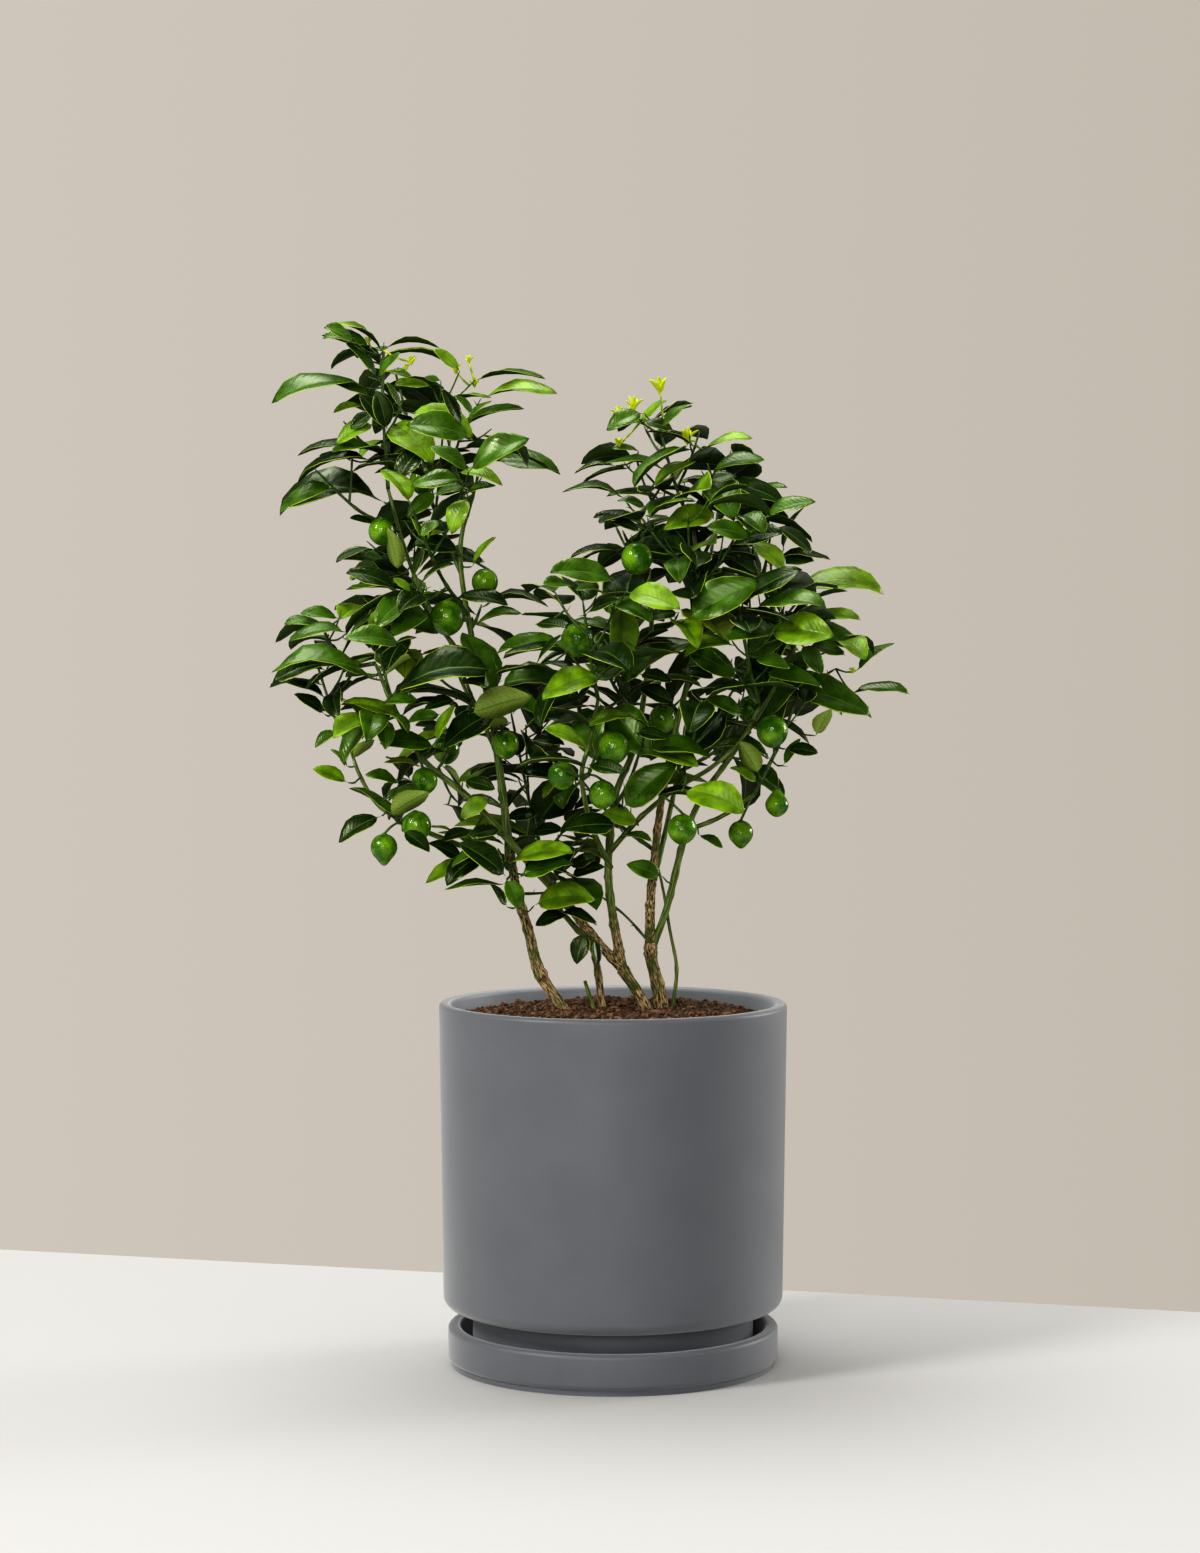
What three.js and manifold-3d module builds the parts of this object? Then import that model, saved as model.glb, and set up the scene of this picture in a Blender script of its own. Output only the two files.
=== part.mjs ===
// Potted key lime tree: a shrub of several stems in a straight-sided ceramic pot on its saucer.
// Units are millimetres, +Z is up, and the origin is the centre of the saucer's underside.
// The front of the plant faces -Y. Each limb is one tapering solid, and each mass of foliage is
// one solid of twigs, leaves and limes that grows from a limb by a seeded rule.

import * as THREE from "three";
import { mergeVertices } from "three/addons/utils/BufferGeometryUtils.js";
import Module from "manifold-3d";

const wasm = await Module();
wasm.setup();

// Driving dimensions
const GAP = 0.3;
const SLACK = 0.04;
const ROUND = 28;
const SAUCER = { radius: 123.5, height: 30, wall: 10, floor: 8, footRadius: 116.5, edge: 5, lip: 3.5 };
const POT = {
  rimRadius: 130, baseRadius: 127, top: 271, skirt: 46.5, wall: 9.5, floor: 14,
  footRadius: 105, edge: 5, lip: 3.5,
};
const SOIL = { level: 266, edgeLevel: 259, plateau: 62, clear: 0.4 };
const LEAF = { length: 66, width: 0.56, thickness: 0.026, crest: 0.46, free: 0.28, tries: 6 };
const TWIG = {
  radius: 1.7, tipRadius: 0.8, sideRadius: 1.1, sides: 3, step: 40, stemBare: 0.3, sideBare: 0.4,
  shortest: 30, longest: 62,
};
const LIME = {
  radius: 12.4, long: 1.1, sides: 7, rings: 5, stalk: 0.8, arch: 3,
  shares: Array.from({ length: 17 }, (_, i) => 0.15 + 0.05 * i),
};
const LIMB = { step: 36, stout: 3, stoutSides: 6, sides: 5 };
const INTERNODE = 17;
const GOLDEN_ANGLE = THREE.MathUtils.degToRad(137.5);
const UP = new THREE.Vector3(0, 0, 1);

// Stems and boughs: the points each centreline passes through, and the radius at each point.
// A bough starts on its parent's centreline and is cut clear of it.
const LIMBS = [
  { name: "stem_left", radii: [3.6, 4.6, 3.9, 3.6, 3.4],
    path: [[-36, -8, 266], [-54, -6, 292], [-63, -4, 324], [-72, -4, 355], [-77, -4, 385]] },
  { name: "stem_centre", radii: [4.9, 4.2, 4.4], path: [[25, -4, 266], [18, -4, 279], [7, -4, 296]] },
  { name: "stem_right", radii: [6.2, 5.1, 4.8, 4.6],
    path: [[36, 5, 266], [34, 5, 281], [29, 4, 302], [28, 4, 315]] },
  { name: "stem_rear", radii: [3.2, 2.7, 2.5, 2.3, 1.9],
    path: [[-8, 10, 266], [-12, 14, 297], [-17, 22, 312], [-32, 34, 328], [-46, 44, 343]] },
  { name: "stem_thin", radii: [1.6, 1.4, 1.3, 1.1, 1],
    path: [[45, 14, 266], [48, 18, 294], [43, 23, 323], [37, 24, 358], [30, 24, 384]] },
  { name: "stub", radii: [1.7, 1.4], path: [[-14, -14, 266], [-21, -14, 288]] },
  { name: "leader_right", radii: [3.4, 3.2, 2.8, 2.4, 2, 1.6],
    path: [[-77, -4, 385], [-85, -2, 448], [-93, 4, 497], [-105, 8, 541], [-114, 6, 601], [-109, 4, 640]] },
  { name: "leader_left", radii: [2, 1.9, 1.8, 1.6, 1.3],
    path: [[-99, 6, 517], [-122, 14, 541], [-142, 18, 574], [-157, 16, 613], [-168, 10, 654]] },
  { name: "centre", radii: [4.1, 3.5, 3.2, 3.1, 2.7, 2.4, 2.1, 1.9, 1.7, 1.4],
    path: [[7, -4, 296], [1, -6, 329], [-3, -6, 358], [-3, -4, 385], [2, 2, 426], [16, 8, 461],
      [24, 14, 504], [29, 16, 556], [25, 14, 601], [19, 10, 635]] },
  { name: "sweep_left", radii: [4, 3.7, 3.5, 3.1, 2.7, 2.2, 1.8, 1.4],
    path: [[7, -4, 296], [-16, -14, 322], [-33, -24, 345], [-66, -38, 382], [-105, -48, 425],
      [-138, -52, 453], [-159, -50, 488], [-174, -44, 524]] },
  { name: "low_left", radii: [2.4, 2.2, 2, 1.8, 1.5, 1.2],
    path: [[-76, -4, 376], [-112, -24, 389], [-153, -34, 407], [-174, -34, 421], [-187, -30, 442],
      [-194, -26, 461]] },
  { name: "centre_front", radii: [2.2, 2.1, 1.9, 1.7, 1.4],
    path: [[-2, -6, 372], [-16, -40, 405], [-23, -62, 442], [-17, -74, 467], [-11, -84, 498]] },
  { name: "right_main", radii: [4.4, 3.6, 3, 2.7, 2.4, 2.1, 1.8, 1.4],
    path: [[28, 4, 315], [28, 8, 343], [31, 10, 377], [37, 12, 425], [47, 12, 474], [59, 8, 526],
      [64, 4, 579], [60, 0, 623]] },
  { name: "right_side", radii: [3.2, 2.8, 2.6, 2.3, 2.1, 1.9, 1.6, 1.3],
    path: [[28, 4, 308], [40, 5, 340], [53, 2, 392], [66, -4, 424], [87, -10, 454], [108, -12, 486],
      [125, -12, 515], [137, -12, 543]] },
  { name: "cross", radii: [2.2, 2.1, 1.9, 1.7, 1.5, 1.3],
    path: [[-3, -4, 383], [20, -26, 410], [46, -40, 432], [72, -48, 448], [94, -52, 469], [107, -52, 493]] },
  { name: "low_right", radii: [1.9, 1.8, 1.7], path: [[57, 0, 400], [80, -12, 410], [104, -24, 427]] },
  { name: "rear_left", radii: [2, 1.9, 1.6, 1.3],
    path: [[-86, -2, 456], [-101, 40, 485], [-116, 70, 511], [-126, 90, 542]] },
  { name: "rear_right", radii: [2.2, 2.1, 1.8, 1.4],
    path: [[31, 8, 362], [42, 45, 405], [52, 80, 449], [60, 105, 495]] },
];

// Masses of foliage: the limb each leaves, the height where it leaves it (none: at the limb's
// tip), and the tip of its stem. Side twigs and seed steer the rule.
const MASSES = [
  { name: "left_crown_a", limb: "leader_left", tip: [-173, 0, 753], twigs: 3, seed: 34 },
  { name: "left_crown_b", limb: "leader_right", tip: [-128, -6, 716], twigs: 3, seed: 13 },
  { name: "left_crown_rear", limb: "leader_right", height: 590, tip: [-167, 75, 749], twigs: 2, seed: 26 },
  { name: "left_shoulder_a", limb: "leader_left", height: 622, tip: [-220, -20, 667], twigs: 1, seed: 58 },
  { name: "left_shoulder_b", limb: "leader_right", height: 625, tip: [-96, 14, 688], twigs: 1, seed: 98 },
  { name: "left_mid_a", limb: "leader_left", height: 572, tip: [-177, 14, 587], twigs: 1, seed: 10 },
  { name: "left_mid_front", limb: "leader_right", height: 560, tip: [-148, -72, 642], twigs: 2, seed: 10 },
  { name: "left_mid_b", limb: "leader_right", height: 548, tip: [-99, 30, 568], twigs: 1, seed: 30 },
  { name: "left_low_a", limb: "sweep_left", tip: [-209, -30, 526], twigs: 2, seed: 20 },
  { name: "left_low_cluster", limb: "low_left", tip: [-221, -6, 526], twigs: 2, seed: 226 },
  { name: "left_low_mid", limb: "sweep_left", height: 470, tip: [-168, -95, 530], twigs: 2, seed: 53 },
  { name: "left_skirt", limb: "low_left", height: 402, tip: [-157, -60, 409], twigs: 1, seed: 35 },
  { name: "left_waist_front", limb: "leader_right", height: 480, tip: [-110, -100, 523], twigs: 2, seed: 6 },
  { name: "left_waist_rear", limb: "rear_left", tip: [-173, 110, 620], twigs: 2, seed: 6 },
  { name: "left_low_rear", limb: "rear_left", height: 495, tip: [-146, 105, 429], twigs: 2, seed: 36 },
  { name: "foot_front", limb: "stem_left", height: 372, tip: [-84, -60, 389], twigs: 2, seed: 13 },
  { name: "foot_centre", limb: "stem_rear", tip: [-41, 4, 396], twigs: 2, seed: 43 },
  { name: "foot_rear", limb: "stem_rear", height: 336, tip: [-79, 100, 487], twigs: 2, seed: 174 },
  { name: "centre_rosette", limb: "centre_front", tip: [-22, -110, 569], twigs: 3, seed: 11 },
  { name: "centre_low", limb: "centre_front", height: 440, tip: [-13, -120, 458], twigs: 2, seed: 5 },
  { name: "centre_left", limb: "centre", height: 480, tip: [-19, -40, 549], twigs: 3, seed: 10 },
  { name: "centre_rear", limb: "centre", height: 450, tip: [11, 100, 547], twigs: 1, seed: 12 },
  { name: "centre_low_b", limb: "centre", height: 415, tip: [25, -90, 481], twigs: 1, seed: 9 },
  { name: "right_crown_a", limb: "centre", tip: [36, 4, 656], twigs: 2, seed: 51 },
  { name: "right_crown_b", limb: "right_main", tip: [33, -14, 702], twigs: 3, seed: 1 },
  { name: "right_crown_c", limb: "right_main", height: 595, tip: [90, -20, 664], twigs: 3, seed: 21 },
  { name: "right_upper_left", limb: "centre", height: 590, tip: [7, -20, 622], twigs: 2, seed: 110 },
  { name: "right_front", limb: "right_main", height: 540, tip: [53, -95, 632], twigs: 3, seed: 53 },
  { name: "right_upper", limb: "right_side", height: 535, tip: [90, -6, 640], twigs: 3, seed: 13 },
  { name: "right_crown_rear", limb: "right_main", height: 570, tip: [83, 95, 651], twigs: 2, seed: 40 },
  { name: "right_mid", limb: "right_side", tip: [129, -20, 556], twigs: 2, seed: 110 },
  { name: "right_far", limb: "right_side", height: 500, tip: [166, 0, 520], twigs: 2, seed: 9 },
  { name: "right_mid_front", limb: "cross", tip: [89, -95, 569], twigs: 2, seed: 86 },
  { name: "right_mid_rear", limb: "rear_right", tip: [146, 110, 574], twigs: 2, seed: 341 },
  { name: "right_skirt", limb: "low_right", tip: [147, -36, 536], twigs: 1, seed: 34 },
  { name: "right_low_front", limb: "cross", height: 432, tip: [63, -110, 498], twigs: 2, seed: 53 },
  { name: "right_low_rear", limb: "rear_right", height: 440, tip: [117, 90, 493], twigs: 2, seed: 21 },
  { name: "foot_leaf", limb: "stem_thin", tip: [-25, 22, 438], twigs: 0, seed: 8 },
];

// Limes: the mass each hangs in and its centre.
const LIMES = [
  { mass: "left_shoulder_a", centre: [-172, -5, 622] },
  { mass: "left_crown_rear", centre: [-96, 16, 585] },
  { mass: "left_mid_front", centre: [-123, -11, 558] },
  { mass: "left_waist_front", centre: [-80, -17, 464] },
  { mass: "left_low_mid", centre: [-137, -68, 439] },
  { mass: "left_skirt", centre: [-143, -65, 406] },
  { mass: "left_skirt", centre: [-167, -62, 390] },
  { mass: "right_front", centre: [17, -71, 600] },
  { mass: "centre_rosette", centre: [-26, -89, 541] },
  { mass: "centre_rear", centre: [38, 40, 482] },
  { mass: "centre_low", centre: [0, -101, 464] },
  { mass: "centre_low", centre: [-8, -92, 430] },
  { mass: "centre_low", centre: [-37, -98, 444] },
  { mass: "centre_low_b", centre: [50, -71, 404] },
  { mass: "right_skirt", centre: [94, -34, 399] },
  { mass: "right_skirt", centre: [121, -26, 420] },
  { mass: "right_skirt", centre: [115, -74, 475] },
  { mass: "left_waist_rear", centre: [-155, 119, 580] },
  { mass: "left_crown_rear", centre: [-145, 74, 664] },
  { mass: "left_low_rear", centre: [-129, 97, 457] },
  { mass: "right_mid_rear", centre: [108, 117, 488] },
  { mass: "right_crown_rear", centre: [72, 47, 580] },
];

// Colours
const GREY_CERAMIC = new THREE.MeshStandardMaterial({ color: "#6c6f74", roughness: 0.6 });
const SOIL_BROWN = new THREE.MeshStandardMaterial({ color: "#4a3426", roughness: 1 });
const BARK = new THREE.MeshStandardMaterial({ color: "#7d6a45", roughness: 0.9 });
const FOLIAGE = new THREE.MeshStandardMaterial({ color: "#2f6b1f", roughness: 0.45 });

// A seeded source of numbers from 0 to 1.
function seeded(seed) {
  let state = (seed * 2654435761) >>> 0;
  const next = () => {
    state = (Math.imul(state, 1664525) + 1013904223) >>> 0;
    return state / 4294967296;
  };
  next();
  return next;
}

function vector(point) {
  return new THREE.Vector3(...point);
}

// A closed geometry as a solid that can be cut and joined, with corners that lie together merged.
function solidOf(geometry, nearness = 1e-4) {
  const bare = geometry.clone();
  bare.deleteAttribute("normal");
  bare.deleteAttribute("uv");
  const merged = mergeVertices(bare, nearness);
  const index = Array.from(merged.index.array);
  const faces = Array.from({ length: index.length / 3 }, (_, i) => index.slice(3 * i, 3 * i + 3));
  return new wasm.Manifold(new wasm.Mesh({
    numProp: 3,
    vertProperties: new Float32Array(merged.attributes.position.array),
    triVerts: new Uint32Array(faces.filter((face) => new Set(face).size === 3).flat()),
  }));
}

function geometryOf(solid) {
  const mesh = solid.getMesh();
  const geometry = new THREE.BufferGeometry();
  geometry.setAttribute("position", new THREE.BufferAttribute(new Float32Array(mesh.vertProperties), 3));
  geometry.setIndex(new THREE.BufferAttribute(new Uint32Array(mesh.triVerts), 1));
  geometry.computeVertexNormals();
  return geometry;
}

// The largest piece of a solid, which leaves loose scraps and sealed hollows behind.
function largestPiece(solid) {
  return solid.decompose().reduce((a, b) => (b.volume() > a.volume() ? b : a));
}

// True where a solid is still closed, with no two of its sheets pinched together, once corners
// that lie together are merged.
function isSound(solid, nearness) {
  const { vertProperties, triVerts } = solid.getMesh();
  const corner = (i) => [0, 1, 2].map((k) => Math.round(vertProperties[3 * i + k] / nearness)).join();
  const edges = new Set();
  let count = 0;
  for (let i = 0; i < triVerts.length; i += 3) {
    const face = [...triVerts.slice(i, i + 3)].map(corner);
    if (new Set(face).size < 3) continue;
    face.forEach((from, k) => edges.add(`${from} ${face[(k + 1) % 3]}`));
    count += 3;
  }
  const paired = [...edges].every((edge) => edges.has(edge.split(" ").reverse().join(" ")));
  return edges.size === count && paired;
}

// Pieces joined to one solid, with the few corners that its shape needs.
function joined(pieces) {
  const rough = largestPiece(wasm.Manifold.union(pieces));
  for (const slack of [1, 1.5, 2, 0.5]) {
    const solid = largestPiece(solidOf(geometryOf(rough.simplify(SLACK * slack)), 1e-3));
    if ([1e-3, 1e-4].every((nearness) => isSound(solid, nearness))) return solid;
  }
  return null;
}

function lathe(profile, segments) {
  const points = profile.map(([r, z]) => new THREE.Vector2(r, z));
  return new THREE.LatheGeometry(points, segments).rotateX(Math.PI / 2);
}

// Points of a quarter-round about (r, z), from one angle to another in quarter turns.
function quarterRound(r, z, radius, fromTurn, toTurn, steps = 2) {
  return Array.from({ length: steps + 1 }, (_, i) => {
    const angle = ((fromTurn + ((toTurn - fromTurn) * i) / steps) * Math.PI) / 2;
    return [r + radius * Math.cos(angle), z + radius * Math.sin(angle)];
  });
}

function saucerProfile() {
  const { radius, height, wall, floor, footRadius, edge, lip } = SAUCER;
  return [
    [0, 0],
    [footRadius, 0],
    [footRadius, 2],
    ...quarterRound(radius - edge, edge + 2, edge, -1, 0),
    ...quarterRound(radius - lip, height - lip, lip, 0, 1),
    ...quarterRound(radius - wall + lip, height - lip, lip, 1, 2),
    [radius - wall, floor],
    [0, floor],
  ];
}

function potProfile() {
  const { rimRadius, baseRadius, top, skirt, wall, floor, footRadius, edge, lip } = POT;
  const bottom = SAUCER.floor + GAP;
  return [
    [0, bottom],
    [footRadius, bottom],
    [footRadius, skirt],
    ...quarterRound(baseRadius - edge, skirt + edge, edge, -1, 0),
    ...quarterRound(rimRadius - lip, top - lip, lip, 0, 1),
    ...quarterRound(rimRadius - wall + lip, top - lip, lip, 1, 2),
    [baseRadius - wall, skirt + edge],
    [footRadius - wall, skirt],
    [footRadius - wall, bottom + floor],
    [0, bottom + floor],
  ];
}

// The soil fills the pot up to a low mound with a level top where the stems stand.
function soilProfile() {
  const { rimRadius, baseRadius, top, skirt, wall, floor, footRadius, edge } = POT;
  const { level, edgeLevel, plateau, clear } = SOIL;
  const bottom = SAUCER.floor + GAP + floor + clear;
  const share = (edgeLevel - skirt - edge) / (top - skirt - edge);
  const edgeRadius = baseRadius - wall + (rimRadius - baseRadius) * share - clear;
  return [
    [0, bottom],
    [footRadius - wall - clear, bottom],
    [footRadius - wall - clear, skirt + clear],
    [baseRadius - wall - clear, skirt + edge + clear],
    [edgeRadius, edgeLevel],
    [(edgeRadius + plateau) / 2, (level + edgeLevel) / 2 + 1.5],
    [plateau, level],
    [0, level],
  ];
}

// Directions across a curve that don't twist along it: one pair for each of n + 1 places.
function framesAlong(curve, n) {
  let across = null;
  return Array.from({ length: n + 1 }, (_, i) => {
    const t = i / n;
    const tangent = curve.getTangent(t).normalize();
    if (!across) {
      const start = Math.abs(tangent.z) < 0.9 ? UP : new THREE.Vector3(1, 0, 0);
      across = start.clone().cross(tangent).normalize();
    }
    across = across.clone().addScaledVector(tangent, -across.dot(tangent)).normalize();
    return { at: curve.getPoint(t), across, over: tangent.clone().cross(across) };
  });
}

// A closed tube that tapers along a curve: a cylinder whose rings are laid along it.
function tube(curve, radiusAt, sides, rings) {
  const geometry = new THREE.CylinderGeometry(1, 1, 1, sides, rings);
  const frames = framesAlong(curve, rings);
  const position = geometry.attributes.position;
  for (let i = 0; i < position.count; i++) {
    const t = position.getY(i) + 0.5;
    const { at, across, over } = frames[Math.round(t * rings)];
    const r = radiusAt(t);
    const p = at.clone()
      .addScaledVector(across, position.getZ(i) * r)
      .addScaledVector(over, position.getX(i) * r);
    position.setXYZ(i, p.x, p.y, p.z);
  }
  return geometry;
}

function curveThrough(points) {
  return new THREE.CatmullRomCurve3(points, false, "catmullrom", 0.5);
}

// A limb's radius at a share of its length, between the radii at its points.
function radiusOf(radii, t) {
  const place = Math.min(t * (radii.length - 1), radii.length - 1.0001);
  const i = Math.floor(place);
  return radii[i] + (radii[i + 1] - radii[i]) * (place - i);
}

// The share of a limb's curve where it reaches a height.
function shareAtHeight(curve, height) {
  const steps = 200;
  for (let i = 0; i <= steps; i++) if (curve.getPoint(i / steps).z >= height) return i / steps;
  return 1;
}

// The solid that a limb's neighbours are cut by: the limb, thicker all round and at both ends.
function clearanceOf(limb) {
  const { curve, radii } = limb;
  const start = curve.getPoint(0).addScaledVector(curve.getTangent(0), -GAP);
  const end = curve.getPoint(1).addScaledVector(curve.getTangent(1), GAP);
  const reach = curveThrough([start, ...curve.points.slice(1, -1), end]);
  return solidOf(tube(reach, (t) => radiusOf(radii, t) + GAP, limb.sides, limb.rings));
}

// Each limb's solid, cut clear of the limbs made before it, with its curve and its clearance.
function growLimbs() {
  const limbs = new Map();
  for (const { name, radii, path } of LIMBS) {
    const curve = curveThrough(path.map(vector));
    const rings = Math.max(3, Math.round(curve.getLength() / LIMB.step));
    const limb = { name, radii, curve, rings, sides: radii[0] > LIMB.stout ? LIMB.stoutSides : LIMB.sides };
    let solid = solidOf(tube(curve, (t) => radiusOf(radii, t), limb.sides, rings));
    for (const other of limbs.values()) solid = solid.subtract(other.clearance);
    solid = solid.trimByPlane([0, 0, 1], SOIL.level + GAP);
    limb.solid = largestPiece(solid);
    limb.clearance = clearanceOf(limb);
    limbs.set(name, limb);
  }
  return limbs;
}

// A leaf's midrib bends down evenly from its root. Gives the midrib's point and upper side at a share.
function midribAt({ root, heading, upper, length, bend }, s) {
  const angle = bend * s;
  const forward = bend ? Math.sin(angle) / bend : s;
  const down = bend ? (1 - Math.cos(angle)) / bend : 0;
  return {
    at: root.clone().addScaledVector(heading, length * forward).addScaledVector(upper, -length * down),
    above: upper.clone().multiplyScalar(Math.cos(angle)).addScaledVector(heading, Math.sin(angle)),
  };
}

// A leaf as a closed blade of eight faces, folded along its midrib and thickest at its crest.
// From gives the share of the length it starts at, and swell what is added to its thickness.
function leafSolid(leaf, from = 0, swell = 0) {
  const side = leaf.heading.clone().cross(leaf.upper);
  const crest = midribAt(leaf, LEAF.crest);
  const half = (leaf.length * LEAF.thickness + swell) / 2;
  const reach = (leaf.length * LEAF.width) / 2;
  const edge = (across) => crest.at.clone()
    .addScaledVector(side, across * reach)
    .addScaledVector(crest.above, reach * leaf.fold);
  const points = [
    midribAt(leaf, from).at,
    edge(1),
    midribAt(leaf, 1).at,
    edge(-1),
    crest.at.clone().addScaledVector(crest.above, half),
    crest.at.clone().addScaledVector(crest.above, -half),
  ];
  const index = [0, 1, 2, 3].flatMap((i) => [4, i, (i + 1) % 4, 5, (i + 1) % 4, i]);
  return new wasm.Manifold(new wasm.Mesh({
    numProp: 3,
    vertProperties: new Float32Array(points.flatMap((p) => p.toArray())),
    triVerts: new Uint32Array(index),
  }));
}

// The stem of a mass and its side twigs.
function twigsOf(mass, limbs, random) {
  const limb = limbs.get(mass.limb);
  const share = mass.height ? shareAtHeight(limb.curve, mass.height) : 1;
  const start = pointOn(limb, share);
  const tip = vector(mass.tip);
  const length = start.distanceTo(tip);
  const middle = start.clone().lerp(tip, 0.5).addScaledVector(UP, -0.08 * length);
  const stem = twigAlong([start, middle, tip], length, TWIG.radius, TWIG.stemBare);
  const twigs = [stem];
  let azimuth = random() * Math.PI * 2;
  for (let i = 0; i < mass.twigs; i++) {
    const place = 0.3 + (0.5 * (i + random() * 0.6)) / mass.twigs;
    const spread = 0.75 + 0.35 * random();
    const size = length * (0.3 + 0.2 * random());
    azimuth += GOLDEN_ANGLE;
    const root = pointOn(stem, place);
    const along = stem.curve.getTangent(place).normalize();
    const out = outward(along, azimuth);
    const heading = along.clone().multiplyScalar(Math.cos(spread)).addScaledVector(out, Math.sin(spread));
    const reach = Math.min(Math.max(size, TWIG.shortest), TWIG.longest);
    const knee = root.clone().addScaledVector(heading, reach * 0.5);
    const end = knee.clone().addScaledVector(heading, reach * 0.45).addScaledVector(UP, reach * 0.2);
    twigs.push(twigAlong([root, knee, end], reach, TWIG.sideRadius, TWIG.sideBare, true));
  }
  return twigs;
}

// The point at a share of a limb or twig, on the straight lengths that its solid is made of.
function pointOn({ curve, rings }, share) {
  const i = Math.min(Math.floor(share * rings), rings - 1);
  return curve.getPoint(i / rings).lerp(curve.getPoint((i + 1) / rings), share * rings - i);
}

// A twig along a curve, with the rings that its length needs.
function twigAlong(points, length, radius, bare, sunk = false) {
  const rings = Math.max(2, Math.round(length / TWIG.step));
  return { curve: curveThrough(points), length, rings, radius, bare, sunk };
}

// The direction out from a line, at an angle round it.
function outward(along, azimuth) {
  const reference = Math.abs(along.z) < 0.9 ? UP : new THREE.Vector3(0, 1, 0);
  const across = reference.clone().cross(along).normalize();
  const over = along.clone().cross(across);
  return across.multiplyScalar(Math.cos(azimuth)).addScaledVector(over, Math.sin(azimuth));
}

// A twig's solid. A side twig starts from a point sunk in its stem.
function twigSolid(twig) {
  const radiusAt = (t) => (twig.sunk && t === 0 ? 0 : twig.radius + (TWIG.tipRadius - twig.radius) * t);
  return solidOf(tube(twig.curve, radiusAt, TWIG.sides, twig.rings));
}

// The places for leaves along a twig, each with its size and set drawn before it is tried.
function leafSlots(twig, random) {
  const usable = twig.length * (1 - twig.bare);
  const count = Math.max(2, Math.round(usable / INTERNODE)) + 1;
  let azimuth = random() * Math.PI * 2;
  return Array.from({ length: count }, (_, i) => {
    const share = Math.min(1 - 3 / twig.length, twig.bare + ((1 - twig.bare) * i) / (count - 1));
    azimuth += GOLDEN_ANGLE;
    return {
      twig, share, azimuth,
      size: (0.82 + 0.36 * random()) * (1 - 0.3 * share ** 3),
      lift: 0.1 + 0.55 * random(),
      bend: 0.5 + 0.9 * random(),
      roll: (random() - 0.5) * 1.1,
      fold: 0.12 + 0.3 * random(),
    };
  });
}

// The leaf that a slot gives on one try. Each try turns it on round its twig.
function leafAt(slot, attempt) {
  const { twig, share, size, lift, bend, roll, fold } = slot;
  const root = pointOn(twig, share);
  const along = twig.curve.getTangent(share).normalize();
  const out = outward(along, slot.azimuth + attempt * 1.1);
  const lean = 0.35 + 0.5 * share;
  const heading = out.addScaledVector(along, lean);
  heading.z = heading.z * 0.55 + lift * 0.6;
  heading.normalize();
  const upper = UP.clone().addScaledVector(heading, -heading.z).normalize();
  upper.applyAxisAngle(heading, roll);
  return { root, heading, upper, length: LEAF.length * size, bend, fold };
}

// A lime hung by a stalk from the nearest place on its mass's twigs.
function limeSolids(centre, twigs) {
  const middle = vector(centre);
  const top = middle.clone().addScaledVector(UP, LIME.radius * LIME.long * 0.6);
  const places = twigs.flatMap((twig) => LIME.shares.map((share) => pointOn(twig, share)));
  const nearest = places.reduce((a, b) => (b.distanceTo(top) < a.distanceTo(top) ? b : a));
  const knee = nearest.clone().lerp(top, 0.5).addScaledVector(UP, LIME.arch);
  const stalk = tube(curveThrough([nearest, knee, top]), (t) => (t ? LIME.stalk : 0), TWIG.sides, 2);
  const fruit = new THREE.SphereGeometry(LIME.radius, LIME.sides, LIME.rings)
    .rotateX(Math.PI / 2)
    .scale(1, 1, LIME.long)
    .translate(...centre);
  return { fruit: solidOf(fruit), stalk: solidOf(stalk) };
}

// True where a solid keeps clear of every one in a list.
function isClear(solid, others, gap = GAP) {
  const box = solid.boundingBox();
  return others.every(({ body, bounds }) => {
    const apart = [0, 1, 2].some(
      (k) => box.min[k] > bounds.max[k] + gap || box.max[k] < bounds.min[k] - gap,
    );
    return apart || solid.minGap(body, gap) >= gap;
  });
}

function withBounds(body, owner) {
  return { body, bounds: body.boundingBox(), owner };
}

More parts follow.
